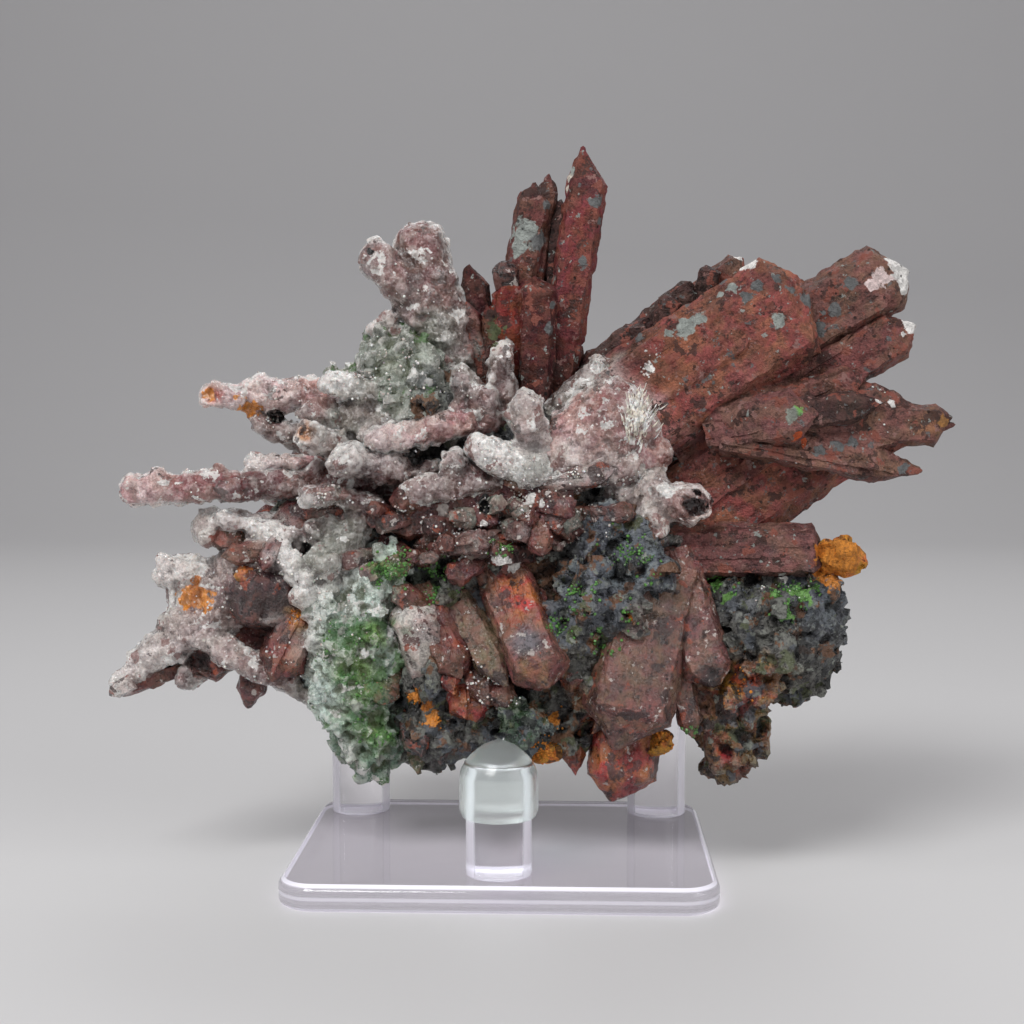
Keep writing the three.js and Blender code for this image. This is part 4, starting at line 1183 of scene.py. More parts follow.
def front_finder(points, triangles):
    """A function that gives the place on the front seen at (across, up), or None where nothing is."""
    tree = BVHTree.FromPolygons(points.tolist(), triangles.tolist(), all_triangles=True)
    eye = Vector(VIEWPOINT)

    def find(across, up):
        aim_at = Vector((across, 0.0, up)) - eye
        hit = tree.ray_cast(eye, aim_at.normalized())[0]
        return None if hit is None else np.array(hit)

    return find


def uneven_distance(points, centre, radius, seed):
    """Distance from a centre as a share of radius, with an uneven outline."""
    away = np.linalg.norm(points - centre, axis=1) / radius
    near = away < 2.2
    away[near] *= 1 + 0.3 * ripple(points[near], max(radius * 1.1, 1.2), seed)
    return away


def spots_on_front(points, rows, find, seed):
    """For each row of a table that is found on the front: its place, the points' distances and its values."""
    for index, (across, up, radius, *values) in enumerate(rows):
        centre = find(across, up)
        if centre is not None:
            yield centre, uneven_distance(points, centre, radius, seed + index), *values


def eased(share):
    """A share from 0 to 1 with a soft start and end."""
    return share * share * (3 - 2 * share)


def zone_mask(points, zones, find):
    """How closely the small crystals of these zones sit at each point."""
    mask = np.zeros(len(points))
    for _, away, amount in spots_on_front(points, zones, find, ZONE_SEED):
        mask = np.maximum(mask, amount * np.clip(1.4 - 1.4 * away, 0, 1))
    return mask * np.clip(0.45 + 1.3 * ripple(points, 3.4, 77) + 0.6 * ripple(points, 1.3, 78), 0, 1.6)


# ---- Settings ----


class QuartzSettings(bpy.types.PropertyGroup):
    crystal_grid: FloatProperty(
        name="Crystal grid", description="Spacing of the corners on the crystals' faces",
        default=0.0008, min=0.0004, max=0.003, unit="LENGTH")
    coat_grid: FloatProperty(
        name="Coat grid", description="Spacing of the corners on the coated fingers",
        default=0.00048, min=0.0003, max=0.002, unit="LENGTH")
    rock_grid: FloatProperty(
        name="Rock grid", description="Spacing of the corners on the dark rock",
        default=0.0007, min=0.0004, max=0.003, unit="LENGTH")
    crust_grid: FloatProperty(
        name="Crust grid", description="Spacing of the corners on the green crust",
        default=0.00052, min=0.0003, max=0.002, unit="LENGTH")
    bead_size: FloatProperty(
        name="Bead size", description="Usual radius of the lobes on the coated fingers",
        default=0.0017, min=0.0004, max=0.003, unit="LENGTH")
    druse_density: FloatProperty(
        name="Druse density", description="Small white crystals on each square millimetre",
        default=1.1, min=0.0, max=4.0)
    crystal_tint: FloatVectorProperty(
        name="Crystal tint", description="Multiplies the colour of the red crystals",
        default=(1.0, 1.0, 1.0), min=0.0, max=2.0, subtype="COLOR")
    coat_tint: FloatVectorProperty(
        name="Coat tint", description="Multiplies the colour of the coated fingers",
        default=(1.0, 1.0, 1.0), min=0.0, max=2.0, subtype="COLOR")


class StandSettings(bpy.types.PropertyGroup):
    corner_radius: FloatProperty(
        name="Corner radius", description="Radius of the plate's corners",
        default=0.007, min=0.001, max=0.02, unit="LENGTH")
    bevel: FloatProperty(
        name="Bevel", description="Width of the plate's polished edge",
        default=0.0011, min=0.0002, max=0.002, unit="LENGTH")
    peg_radius: FloatProperty(
        name="Peg radius", description="Radius of the three pegs",
        default=0.006, min=0.004, max=0.0062, unit="LENGTH")
    plate_tint: FloatVectorProperty(
        name="Plate tint", description="Colour that the clear plate and pegs give to light",
        default=(0.985, 0.965, 1.0), min=0.0, max=1.0, subtype="COLOR")
    cap_tint: FloatVectorProperty(
        name="Cap tint", description="Colour of the cloudy caps",
        default=(0.93, 0.97, 0.95), min=0.0, max=1.0, subtype="COLOR")


class StageSettings(bpy.types.PropertyGroup):
    floor_colour: FloatVectorProperty(
        name="Floor colour", description="Colour of the floor and backdrop",
        default=(0.6, 0.595, 0.595), min=0.0, max=1.0, subtype="COLOR")
    key_power: FloatProperty(
        name="Key light", description="Power of the large light above the front",
        default=6.4, min=0.0, unit="POWER")
    fill_power: FloatProperty(
        name="Fill light", description="Power of the light at the right",
        default=2.0, min=0.0, unit="POWER")
    back_power: FloatProperty(
        name="Back light", description="Power of the light behind",
        default=1.8, min=0.0, unit="POWER")
    lens: FloatProperty(
        name="Lens", description="Focal length on a sensor 36 mm wide, in millimetres",
        default=55.2, min=20.0, max=200.0)


# ---- The stand ----

FLOOR_GAP = 0.05  # left between a peg's foot and the plate, in millimetres
LATHE_SIDES = 72
CAP_BORE_RADIUS = 6.3
CAP_BORE_DEPTH = 10.0
# A cap's outside from its rim up, as (radius, height); its top follows the CAD.
CAP_OUTSIDE = ((CAP_BORE_RADIUS, 0), (6.75, 0), (7.25, 1.2), (7.1, 8.2), (5.7, 10.6), (3.2, 12.8))


def lathe(profile):
    """A shape turned about the upright axis from (radius, height) pairs that start and end on the axis."""
    turn = np.linspace(0, math.tau, LATHE_SIDES, endpoint=False)
    circle = np.stack([np.cos(turn), np.sin(turn), np.zeros(LATHE_SIDES)], axis=1)
    inner = profile[1:-1]
    points = np.vstack([circle * radius + (0, 0, height) for radius, height in inner])
    points, faces = closed_tube(len(inner), (0, 0, profile[0][1]), (0, 0, profile[-1][1]), points)
    return points, outward(points, faces)


def rounded(corners, radii, steps):
    """A profile with its corners rounded; a radius of 0 leaves that corner alone."""
    profile = []
    for i, (corner, radius) in enumerate(zip(corners, radii)):
        corner = np.array(corner, float)
        if radius == 0:
            profile.append(tuple(corner))
            continue
        before = unit(np.array(corners[i - 1]) - corner) * radius + corner
        after = unit(np.array(corners[i + 1]) - corner) * radius + corner
        for t in np.linspace(0, 1, steps):
            profile.append(tuple((1 - t) ** 2 * before + 2 * t * (1 - t) * corner + t ** 2 * after))
    return profile


def plate_shape(size, corner_radius, bevel):
    """A plate with rounded corners and a polished edge, standing on its middle."""
    width, depth, thickness = size
    edge = [(bevel, 0), (0.2, bevel * 0.5), (0, bevel), (0, thickness - bevel), (bevel, thickness)]
    profile = [(max(inset, 0.0), height) for inset, height in rounded(edge, [0, 0.25, 0.25, 0.35, 0], 4)]
    x, y = width / 2 - corner_radius, depth / 2 - corner_radius
    points = []
    for inset, height in profile:
        reach = corner_radius - inset
        for start, (cx, cy) in zip((0, 90, 180, 270), ((x, y), (-x, y), (-x, -y), (x, -y))):
            for angle in np.linspace(start, start + 90, 12):
                turn = math.radians(angle)
                points.append((cx + reach * math.cos(turn), cy + reach * math.sin(turn), height))
    count = len(points)
    ring = count // len(profile)
    faces = [tuple(reversed(range(ring))), tuple(range(count - ring, count))]
    return np.array(points), faces + ring_faces(ring, len(profile))


def node_place(name):
    """A CAD node's middle across and deep, with its foot and its top, in millimetres."""
    low, high = (np.array(corner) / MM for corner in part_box(name))
    return (low[0] + high[0]) / 2, (low[1] + high[1]) / 2, low[2], high[2]


PEG_NAMES = ("front", "rear_left", "rear_right")


class QUARTZ_OT_base_plate(bpy.types.Operator):
    """Makes the clear plate with its polished, rounded edge"""
    bl_idname = "quartz.base_plate"
    bl_label = "Base plate"

    def execute(self, context):
        stand = context.scene.quartz_stand
        low, high = (np.array(corner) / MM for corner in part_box("base_plate"))
        points, faces = plate_shape(high - low, stand.corner_radius / MM, stand.bevel / MM)
        piece = new_object("clear_plate", points, faces)
        smooth_shade(piece.data, 20)
        # The plate's bevels and edge take painted highlights.
        material = clear_plastic(
            "Clear acrylic plate", stand.plate_tint, 0.015, 1.0, smear=0.02,
            highlight_bands=((4.75, 0.5, 0.75), (0.3, 0.7, 0.6), (2.5, 0.5, 0.35), (2.5, 6.0, 0.16)))
        dress(piece, ["base_plate"], "clear_acrylic", material)
        return {"FINISHED"}


class QUARTZ_OT_pegs(bpy.types.Operator):
    """Makes the three clear pegs"""
    bl_idname = "quartz.pegs"
    bl_label = "Pegs"

    def execute(self, context):
        stand = context.scene.quartz_stand
        # The pegs' feet and grazing sides take painted highlights.
        material = clear_plastic("Clear acrylic", stand.plate_tint, 0.015, 1.0, smear=0.02,
                                 highlight_bands=((5.3, 0.6, 0.5),), edge=0.6)
        radius = stand.peg_radius / MM
        for name in PEG_NAMES:
            x, y, foot, top = node_place(f"{name}_peg")
            corners = [(0, foot + FLOOR_GAP), (radius, foot + FLOOR_GAP), (radius, top), (0, top)]
            points, faces = lathe(rounded(corners, [0, 0.25, 0.5, 0], 6))
            piece = new_object(f"{name}_clear_peg", points + (x, y, 0), faces)
            smooth_shade(piece.data, 30)
            dress(piece, [f"{name}_peg"], "clear_acrylic", material)
        return {"FINISHED"}


class QUARTZ_OT_caps(bpy.types.Operator):
    """Makes the three cloudy caps that the cluster rests on"""
    bl_idname = "quartz.caps"
    bl_label = "Caps"

    def execute(self, context):
        stand = context.scene.quartz_stand
        material = clear_plastic("Cloudy silicone", stand.cap_tint, 0.15, 0.93, ior=1.41, smear=0.06,
                                 smear_size=9)
        for name in PEG_NAMES:
            x, y, rim, top = node_place(f"{name}_cap")
            corners = [(0, rim + CAP_BORE_DEPTH), (CAP_BORE_RADIUS, rim + CAP_BORE_DEPTH)]
            corners += [(radius, rim + height) for radius, height in CAP_OUTSIDE] + [(0, top)]
            points, faces = lathe(rounded(corners, [0, 0.4, 0.2, 0.2, 0.5, 0.9, 0.9, 0.9, 0], 5))
            piece = new_object(f"{name}_cloudy_cap", points + (x, y, 0), faces)
            smooth_shade(piece.data, 40)
            dress(piece, [f"{name}_cap"], "cloudy_silicone", material)
        return {"FINISHED"}


# ---- The cluster ----

LUMP_SHARE = 0.9  # of a rock lump's size, taken by the ball under its blocks
BLOCK_SINK = 0.42  # how deep blocks sit in a lump, as a share of their own size
LOBE_SINK = 0.58  # the same for the lobes of a finger's crust
LOBE_STRETCH = ((0.5, 1), (0.7, 1), (1, 1.9))  # of upright lobes: across, deep and up
# What the cluster leaves free for a cap, as (height above its rim, radius).
CAP_CLEARANCE = np.array([(-0.5, 0), (0, 7.5), (8.8, 7.4), (11.4, 5.8), (13.4, 3.2), (14.1, 0.6), (14.4, 0)])
CAP_SPAN = (-0.4, 14.4)  # heights above a cap's rim between which the skin is moved
CAP_LIFT = 14.3  # height above a cap's rim to which it is lifted


def relief_values(lumps, grain, facets, beads=(2.5, 0.0)):
    """Inputs of the relief tree; each pair is a size in millimetres with a height or, for facets, a tilt."""
    return {
        "Lump size": lumps[0], "Lump height": lumps[1], "Grain size": grain[0], "Grain height": grain[1],
        "Bead size": beads[0], "Bead height": beads[1], "Facet size": facets[0], "Facet tilt": facets[1],
    }


def finish_relief(piece, values, material, seed):
    """Gives the piece its fine relief with the relief tree, as plain mesh."""
    modifier = piece.modifiers.new("Relief", "NODES")
    modifier.node_group = bpy.data.node_groups.get("Mineral relief") or relief_tree()
    set_inputs(modifier, {**values, "Seed": float(seed), "Material": material})
    return freeze(piece)


def remesh(piece, grid, smoothing):
    """Joins everything in the piece under one even skin."""
    modifier = piece.modifiers.new("Skin", "REMESH")
    modifier.mode = "VOXEL"
    modifier.voxel_size = grid
    modifier.use_smooth_shade = True
    if smoothing:
        softer = piece.modifiers.new("Soften", "SMOOTH")
        softer.factor = 0.5
        softer.iterations = smoothing
    freeze(piece)
    if not piece.data.polygons:
        raise RuntimeError(f"{piece.name} came out empty")
    return piece


def clear_of_caps(points):
    """Moves the points, in place, out of the three caps."""
    for name in PEG_NAMES:
        x, y, rim, _ = node_place(f"{name}_cap")
        away = points - (x, y, rim)
        flat = np.hypot(away[:, 0], away[:, 1])
        profile_radius = np.interp(away[:, 2], *CAP_CLEARANCE.T)
        inside = (flat < profile_radius) & (away[:, 2] > CAP_SPAN[0]) & (away[:, 2] < CAP_SPAN[1])
        if not inside.any():
            continue
        up = CAP_LIFT - away[inside, 2]
        side = profile_radius[inside] - flat[inside]
        lift = (up < side) | (flat[inside] < 0.5)
        moved = points[inside]
        moved[lift, 2] += up[lift]
        outwards = away[inside][:, :2] / np.maximum(flat[inside], 0.5)[:, None]
        moved[~lift, :2] += outwards[~lift] * side[~lift][:, None]
        points[inside] = moved
    return points


def inside_box(points):
    """The points, held within the part's own box."""
    low, high = (np.array(corner) / MM for corner in FRAME_BOX)
    return np.clip(points, low, high)


def settle(piece):
    """Keeps the piece clear of the caps and within the part's box, and gives its corners."""
    points = inside_box(clear_of_caps(positions(piece.data)))
    move_to(piece.data, points)
    return points


def grow_crystals(name, rows, grid, tint, material, seed, worn):
    """One piece from all the crystals of a table, worn by the relief."""
    shapes = []
    for index, row in enumerate(rows.values()):
        shapes.extend(grown_crystal(row, grid, seed + 97 * index))
    points, faces, tints = join(shapes)
    piece = new_object(name, clear_of_caps(points), faces)
    store(piece.data, "tint", np.clip(tints[:, :3] * np.array(tint), 0, 1))
    store(piece.data, "grown", tints[:, 3:])
    finish_relief(piece, worn, material, seed)
    move_to(piece.data, inside_box(positions(piece.data)))
    smooth_shade(piece.data, 30)
    return dress(piece, [CLUSTER], "quartz")


class QUARTZ_OT_red_blades(bpy.types.Operator):
    """Grows the red-brown blades, front and back"""
    bl_idname = "quartz.red_blades"
    bl_label = "Red blades"

    def execute(self, context):
        quartz = context.scene.quartz_cluster
        material = mineral(
            "Rusty quartz", mottle=0.5, mottle_size=2.4, hue=0.014, ridge_wear_highlight="blushed", ridge_wear_highlight_share=0.18,
            hollow=0.85, pits=0.07, streaks=0.3, roughness=(0.42, 0.85), facets=0.2, facet_size=1.6,
            specular=0.3,
            specks=(("greyBlue", 1.3, 0.025), ("rustDark", 1.6, 0.12), ("blushed", 1.0, 0.045),
                    ("rustRed", 1.8, 0.09), ("paleGrey", 0.7, 0.015)))
        grow_crystals("red_blades", RED_BLADES, quartz.crystal_grid / MM, quartz.crystal_tint, material, 11,
                      relief_values(lumps=(6.0, 0.2), grain=(1.6, 0.24), facets=(4.0, 0.16)))
        return {"FINISHED"}


BACK_SEED = 29
BACK_LUMPS = ("heart", "upperHeart", "rightHeart", "leftHeart", "backHeart", "leftSeat", "rightSeat")
BACK_COLOURS = ("rust", "rustRed", "mauveRed", "wine", "rustBrown", "greyMauve", "mauve")


def seen_at(point):
    """Where the sight line through a point crosses the front plane, with the point's own depth."""
    share = -VIEWPOINT[1] / (point[1] - VIEWPOINT[1])
    across, _, up = VIEWPOINT + (point - VIEWPOINT) * share
    return across, up, point[1]


def back_rows():
    """Short crystals that stand out of the back of the rock, in rows like the tables above."""
    rng = np.random.default_rng(BACK_SEED)
    lumps = [ROCK_LUMPS[key] for key in BACK_LUMPS]
    solids = [(place(*centre), np.array(radii, float) * LUMP_SHARE) for centre, radii, _ in lumps]
    rows = {}
    for index, (centre, radii) in enumerate(solids):
        lump = ellipsoid(centre, radii, 4, 0.0, BACK_SEED + index)
        spots, facing = surface_points(lump, 34, BACK_SEED + 50 + index)
        for spot, normal in zip(spots, facing):
            buried = any(((spot - other) ** 2 / size ** 2).sum() < 0.94 for other, size in solids)
            if buried or normal[1] < 0.25 or spot[2] < 46:
                continue
            way = unit(0.7 * normal + 0.5 * unit(spot - np.array((4, 8, 62))) + rng.normal(0, 0.28, 3))
            reach, width = rng.uniform(4.5, 12), rng.uniform(3.6, 8)
            rows[f"back{len(rows)}"] = (
                seen_at(spot - way * 6), seen_at(spot + way * reach), width, width * 0.85,
                rng.uniform(1.6, 3.6), rng.uniform(-0.4, 0.4), pick(rng, BACK_COLOURS), int(rng.integers(3)))
    return rows


class QUARTZ_OT_stout_crystals(bpy.types.Operator):
    """Grows the shorter crystals of the lower front"""
    bl_idname = "quartz.stout_crystals"
    bl_label = "Stout crystals"

    def execute(self, context):
        quartz = context.scene.quartz_cluster
        material = mineral(
            "Glassy red quartz", mottle=0.46, ridge_wear_highlight="rustRed", ridge_wear_highlight_share=0.4, hollow=0.9, pits=0.05,
            streaks=0.35, roughness=(0.16, 0.55), bump=0.8, facets=0.25, facet_size=1.6, coat=0.45,
            specks=(("darkWine", 2.6, 0.1), ("wine", 1.8, 0.1), ("pale", 0.8, 0.03),
                    ("orangeRed", 2.0, 0.035)))
        spacing = quartz.crystal_grid / MM
        worn = relief_values(lumps=(5.0, 0.22), grain=(1.8, 0.14), facets=(4.0, 0.16))
        for name, rows, coarser, seed in (("stout_crystals", {**STOUT_POINTS, **rubble_rows()}, 0.9, 23),
                                          ("back_crystals", back_rows(), 1.2, 59)):
            grow_crystals(name, rows, spacing * coarser, quartz.crystal_tint, material, seed, worn)
        return {"FINISHED"}


def grow_fingers(name, rows, lumps, grid, usual, lobes, finish, tint, material, seed):
    """Finger crystals under a lumpy, half-clear crust; where it turns away from the front it is whitened,
    partly as frost and partly as painted rim sheen, and where it faces the front it is left darker and
    redder.

    Usual is the usual radius of the crust's lobes, and lobes is how closely they sit.
    """
    rng = np.random.default_rng(seed)
    features = [finger_feature(row) for row in rows]
    shapes = []
    for index, (a, b, radius_a, radius_b, _, _) in enumerate(features):
        end = b - unit(b - a) * radius_b * 0.8
        points, faces, ones = capsule(a, end, radius_a * 0.97, radius_b * 0.96)
        waves = [ripple(points, 5.5, 10 * seed + 3 * index + k) for k in range(3)]
        core = (points + 0.5 * np.stack(waves, axis=1), faces, ones)
        area = math.pi * (radius_a + radius_b) * np.linalg.norm(end - a)
        spots, facing = surface_points(core, max(3, int(area * lobes / 10)), 20 * seed + index)
        radii = np.minimum(usual * rng.lognormal(0, 0.3, len(spots)), 0.5 * min(radius_a, radius_b) + 0.6)
        shapes.extend([core, beads(spots - facing * radii[:, None] * LOBE_SINK, radii)])
        spots, facing = surface_points(core, max(2, int(area * lobes / 30)), 30 * seed + index)
        radii = 0.42 * usual * rng.lognormal(0, 0.3, len(spots))
        shapes.append(beads(spots + facing * radii[:, None] * 0.2, radii))
    for index, (centre_place, radii, _) in enumerate(lumps):
        lump = ellipsoid(place(*centre_place), np.array(radii) * 0.95, 3, 0.12, 40 + index)
        spots, facing = surface_points(lump, 30, 560 + index)
        sizes = usual * rng.lognormal(0, 0.35, len(spots))
        shapes.extend([lump, beads(spots - facing * sizes[:, None] * LOBE_SINK, sizes)])
    points, faces, _ = join(shapes)
    piece = remesh(new_object(name, points, faces), grid, 3)
    finish_relief(piece, finish, material, seed)
    mesh = piece.data
    points = settle(piece)
    tints, distance, turned = tint_from_fingers(points, features)
    if lumps:
        lobe_tints, lobe_distance = tint_from_lumps(points, lumps)
        tints = np.where((lobe_distance < distance)[:, None], lobe_tints, tints)
    # Painted rim sheen: the crust is whitened by how far it turns from the front, partly frost and partly the
    # light at a clear crust's edges; the middle that faces the front is left darker and redder.
    own_turn = 1 - np.abs(vertex_normals(mesh)[:, 1])
    rim = 0.65 * turned + 0.35 * own_turn
    clear = np.clip(1.3 - 2.2 * tints.mean(axis=1), 0.25, 1)
    inner = (np.clip(1.1 - 1.6 * rim + 0.7 * ripple(points, 5, seed), 0, 1) * clear)[:, None]
    tints = tints * (1 - inner * (0.24, 0.46, 0.47))
    frost = np.clip(3.2 * rim - 1.4 + 0.45 * ripple(points, 3.4, seed + 1), 0, 0.92)[:, None]
    tints = tints * (1 - frost) + linear("white") * frost
    store(mesh, "tint", np.clip(tints * np.array(tint), 0, 1))
    smooth_shade(mesh)
    return dress(piece, [CLUSTER], "quartz")


class QUARTZ_OT_coated_fingers(bpy.types.Operator):
    """Grows the finger crystals and the glassy crust that coats them"""
    bl_idname = "quartz.coated_fingers"
    bl_label = "Coated fingers"

    def execute(self, context):
        quartz = context.scene.quartz_cluster
        material = mineral(
            "Glassy crust", mottle_size=2.4, hue=0.012, ridge_wear_highlight="white", ridge_wear_highlight_share=0.24, ridge_noise=0.5,
            hollow_shade_colour="dusk", roughness=(0.05, 0.32), bump=0.6, facets=0.9, coat=1.0, subsurface=0.4,
            specks=(("blushed", 2.4, 0.08), ("dusk", 1.4, 0.03), ("white", 1.6, 0.07)))
        lumpy = relief_values(lumps=(5.0, 0.5), grain=(1.1, 0.1), facets=(2.2, 0.35), beads=(2.6, 0.12))
        calm = relief_values(lumps=(6.0, 0.5), grain=(1.1, 0.14), facets=(2.2, 0.35), beads=(2.6, 0.1))
        roots = [FINGERS[key] for key in SMOOTH_ROOTS]
        others = [row for key, row in FINGERS.items() if key not in SMOOTH_ROOTS]
        upper = [row for row in others if row[0][1] + row[1][1] > 2 * UPPER_HEIGHT]
        lower = [row for row in others if row[0][1] + row[1][1] <= 2 * UPPER_HEIGHT]
        for name, rows, lumps, lobes, finish, seed in (
                ("upper_fingers", upper, (), 0.6, lumpy, 31),
                ("lower_fingers", lower, COATED_LUMPS.values(), 0.5, lumpy, 37),
                ("frosted_root", roots, (), 0.2, calm, 41)):
            grow_fingers(name, rows, lumps, quartz.coat_grid, quartz.bead_size / MM, lobes, finish,
                         quartz.coat_tint, material, seed)
        return {"FINISHED"}


def grow_rock(name, rows, grid, shard_spacing, shard_sizes, finish, material, seed, smoothing=0,
              lobed=False):
    """A lumpy rock from ellipsoids and broken blocks, or upright lobes, under one skin."""
    rng = np.random.default_rng(seed)
    shapes = []
    for index, (centre_place, radii, _) in enumerate(rows.values()):
        lump = ellipsoid(place(*centre_place), np.array(radii, float) * LUMP_SHARE, 4, 0.12, seed + index)
        shapes.append(lump)
        a, b, c = sorted(radii)
        count = int(math.tau * (a * b + b * c + a * c) / 1.5 / shard_spacing ** 2)
        spots, facing = surface_points(lump, max(count, 6), seed + 200 + index)
        sizes = np.minimum(rng.uniform(*shard_sizes, size=len(spots)), 0.55 * a)
        sunk = spots - facing * sizes[:, None] * BLOCK_SINK
        if lobed:
            ball, ball_faces, ones = beads(np.zeros((len(sunk), 3)), sizes)
            owner = np.repeat(np.arange(len(sunk)), len(ball) // len(sunk))
            stretch = np.stack([rng.uniform(*span, len(sunk)) for span in LOBE_STRETCH], axis=1)
            shapes.append((ball * stretch[owner] + sunk[owner], ball_faces, ones))
        else:
            shapes.append(shards(sunk, sizes, seed + 400 + index))
    points, faces, _ = join(shapes)
    piece = remesh(new_object(name, points, faces), grid, smoothing)
    finish_relief(piece, finish, material, seed)
    mesh = piece.data
    points = settle(piece)
    tints = tint_from_lumps(points, rows.values())[0] * (1 + 0.28 * ripple(points, 6, seed))[:, None]
    store(mesh, "tint", np.clip(tints, 0, 1))
    smooth_shade(mesh, 38)
    return dress(piece, [CLUSTER], "quartz")


class QUARTZ_OT_dark_rock(bpy.types.Operator):
    """Makes the dark, broken rock that the crystals grew from"""
    bl_idname = "quartz.dark_rock"
    bl_label = "Dark rock"

    def execute(self, context):
        quartz = context.scene.quartz_cluster
        material = mineral(
            "Dark rock", mottle=0.7, mottle_size=2.4, hue=0.03, ridge_wear_highlight="druseGrey", ridge_wear_highlight_share=0.4,
            hollow=0.85, pits=0.12, roughness=(0.2, 0.7), bump=1.2, facet_size=2.4, specular=0.6,
            specks=(("rockBlue", 3.4, 0.18), ("rockBrown", 2.6, 0.15), ("rockDark", 2.4, 0.16),
                    ("olive", 3.0, 0.09), ("druseGrey", 1.2, 0.05)))
        finish = relief_values(lumps=(6.5, 0.3), grain=(1.4, 0.22), facets=(3.8, 0.9))
        grow_rock("dark_rock", ROCK_LUMPS, quartz.rock_grid, 3.9, (1.6, 5.0), finish, material, 61)
        return {"FINISHED"}


class QUARTZ_OT_green_crust(bpy.types.Operator):
    """Makes the frosted green crust at the left"""
    bl_idname = "quartz.green_crust"
    bl_label = "Green crust"

    def execute(self, context):
        quartz = context.scene.quartz_cluster
        material = mineral(
            "Frosted green crust", mottle=0.4, mottle_size=2.6, hue=0.025, ridge_wear_highlight="white", ridge_wear_highlight_share=0.4,
            hollow=0.75, hollow_shade_colour="olive", roughness=(0.1, 0.45), bump=0.8, facets=0.6, facet_size=1.7,
            coat=0.45, subsurface=0.25,
            specks=(("green", 3.6, 0.1), ("druseGrey", 2.6, 0.1), ("white", 1.8, 0.05)))
        finish = relief_values(lumps=(4.4, 1.3), grain=(1.3, 0.28), facets=(2.6, 0.6), beads=(2.8, 0.5))
        grow_rock("green_crust", CRUST_LUMPS, quartz.crust_grid, 2.7, (0.9, 2.7), finish, material, 83, 1,
                  lobed=True)
        return {"FINISHED"}


class QUARTZ_OT_ochre_lumps(bpy.types.Operator):
    """Makes the ochre lumps of earthy mineral"""
    bl_idname = "quartz.ochre_lumps"
    bl_label = "Ochre lumps"

    def execute(self, context):
        quartz = context.scene.quartz_cluster
        material = mineral(
            "Ochre earth", mottle=0.5, mottle_size=1.6, ridge_wear_highlight="ochrePale", ridge_wear_highlight_share=0.3, hollow=0.7,
            hollow_shade_colour="brown", roughness=(0.55, 0.9), bump=1.2, facets=0.6, specular=0.3,
            specks=(("brown", 1.2, 0.16), ("ochrePale", 0.9, 0.1)))
        finish = relief_values(lumps=(4.0, 0.4), grain=(0.9, 0.12), facets=(5.0, 0.4))
        grow_rock("ochre_lumps", OCHRE_LUMPS, quartz.crust_grid, 4.2, (2.2, 3.2), finish, material, 91, 1)
        return {"FINISHED"}


class QUARTZ_OT_open_hollows(bpy.types.Operator):
    """Sinks the pits, broken ends and windows in the cluster's front"""
    bl_idname = "quartz.open_hollows"
    bl_label = "Hollows"

    def execute(self, context):
        pieces = cluster_pieces()
        find = front_finder(*whole_skin(pieces))
        for piece in pieces:
            points = positions(piece.data)
            for centre, away, depth in spots_on_front(points, HOLLOWS, find, HOLLOW_SEED):
                share = eased(np.clip(1.25 - away, 0, 1))
                points += unit(centre - VIEWPOINT) * (share * depth)[:, None]
            move_to(piece.data, clear_of_caps(points))
        return {"FINISHED"}


class QUARTZ_OT_paint(bpy.types.Operator):
    """Colours the minerals: washes and patches, some of them painted shade, and the relief that sets the
    ridges' wear and painted highlights and the hollows' painted shade
    """
    bl_idname = "quartz.paint"
    bl_label = "Colours"

    def execute(self, context):
        pieces = cluster_pieces()
        find = front_finder(*whole_skin(pieces))
        for piece in pieces:
            mesh = piece.data
            points = positions(mesh)
            tint = stored(mesh, "tint")
            for _, away, colour, strength in spots_on_front(points, WASHES, find, WASH_SEED):
                share = (eased(np.clip(1.3 - away, 0, 1)) * strength)[:, None]
                tint = tint * (1 - share) + linear(colour) * share
            patch = np.zeros_like(tint)
            amount = np.zeros(len(points))
            for _, away, colour in spots_on_front(points, PATCHES, find, PATCH_SEED):
                own = 1 - 0.5 * away
                patch[own > amount] = linear(colour)
                amount = np.maximum(amount, own)
            store(mesh, "tint", tint)
            store(mesh, "patch", patch)
            store(mesh, "patch_amount", amount)
            store(mesh, "relief", convexity(mesh, 6, 24) if "finger" in piece.name else convexity(mesh))
        return {"FINISHED"}


def scatter(name, zones, material, values):
    """Small crystals over the zones, as a plain piece of their own."""
    pieces = [piece for piece in cluster_pieces() if not piece.name.endswith("_grains")]
    points, triangles = whole_skin(pieces)
    mask = zone_mask(points, zones, front_finder(points, triangles))
    kept = triangles[mask[triangles].max(axis=1) > 0.01]
    used, renumbered = np.unique(kept, return_inverse=True)
    piece = new_object(name, points[used], renumbered.reshape(-1, 3).tolist())
    store(piece.data, "mask", mask[used])
    modifier = piece.modifiers.new("Small crystals", "NODES")
    modifier.node_group = bpy.data.node_groups.get("Small crystals") or scatter_tree()
    set_inputs(modifier, {**values, "Material": material})
    freeze(piece)
    if not piece.data.polygons:
        raise RuntimeError(f"no small crystals were made for {name}")
    move_to(piece.data, inside_box(positions(piece.data)))
    return dress(piece, [CLUSTER], "quartz")


FIBRE_SEED = 19
FIBRE_COUNT = 150
FIBRE_SIDES = 5


def fibre(path, radius):
    """A fine tube along a path, tapering to its end."""
    along, across, through = axes_of(path[0], path[-1])
    circle = circle_about(across, through, FIBRE_SIDES) * radius
    points = np.vstack([spot + circle * (1 - 0.75 * i / len(path)) for i, spot in enumerate(path)])
    points, faces = closed_tube(len(path), path[0] - along * radius, path[-1] + along * radius, points)
    return points, outward(points, faces), np.ones((len(points), 3))


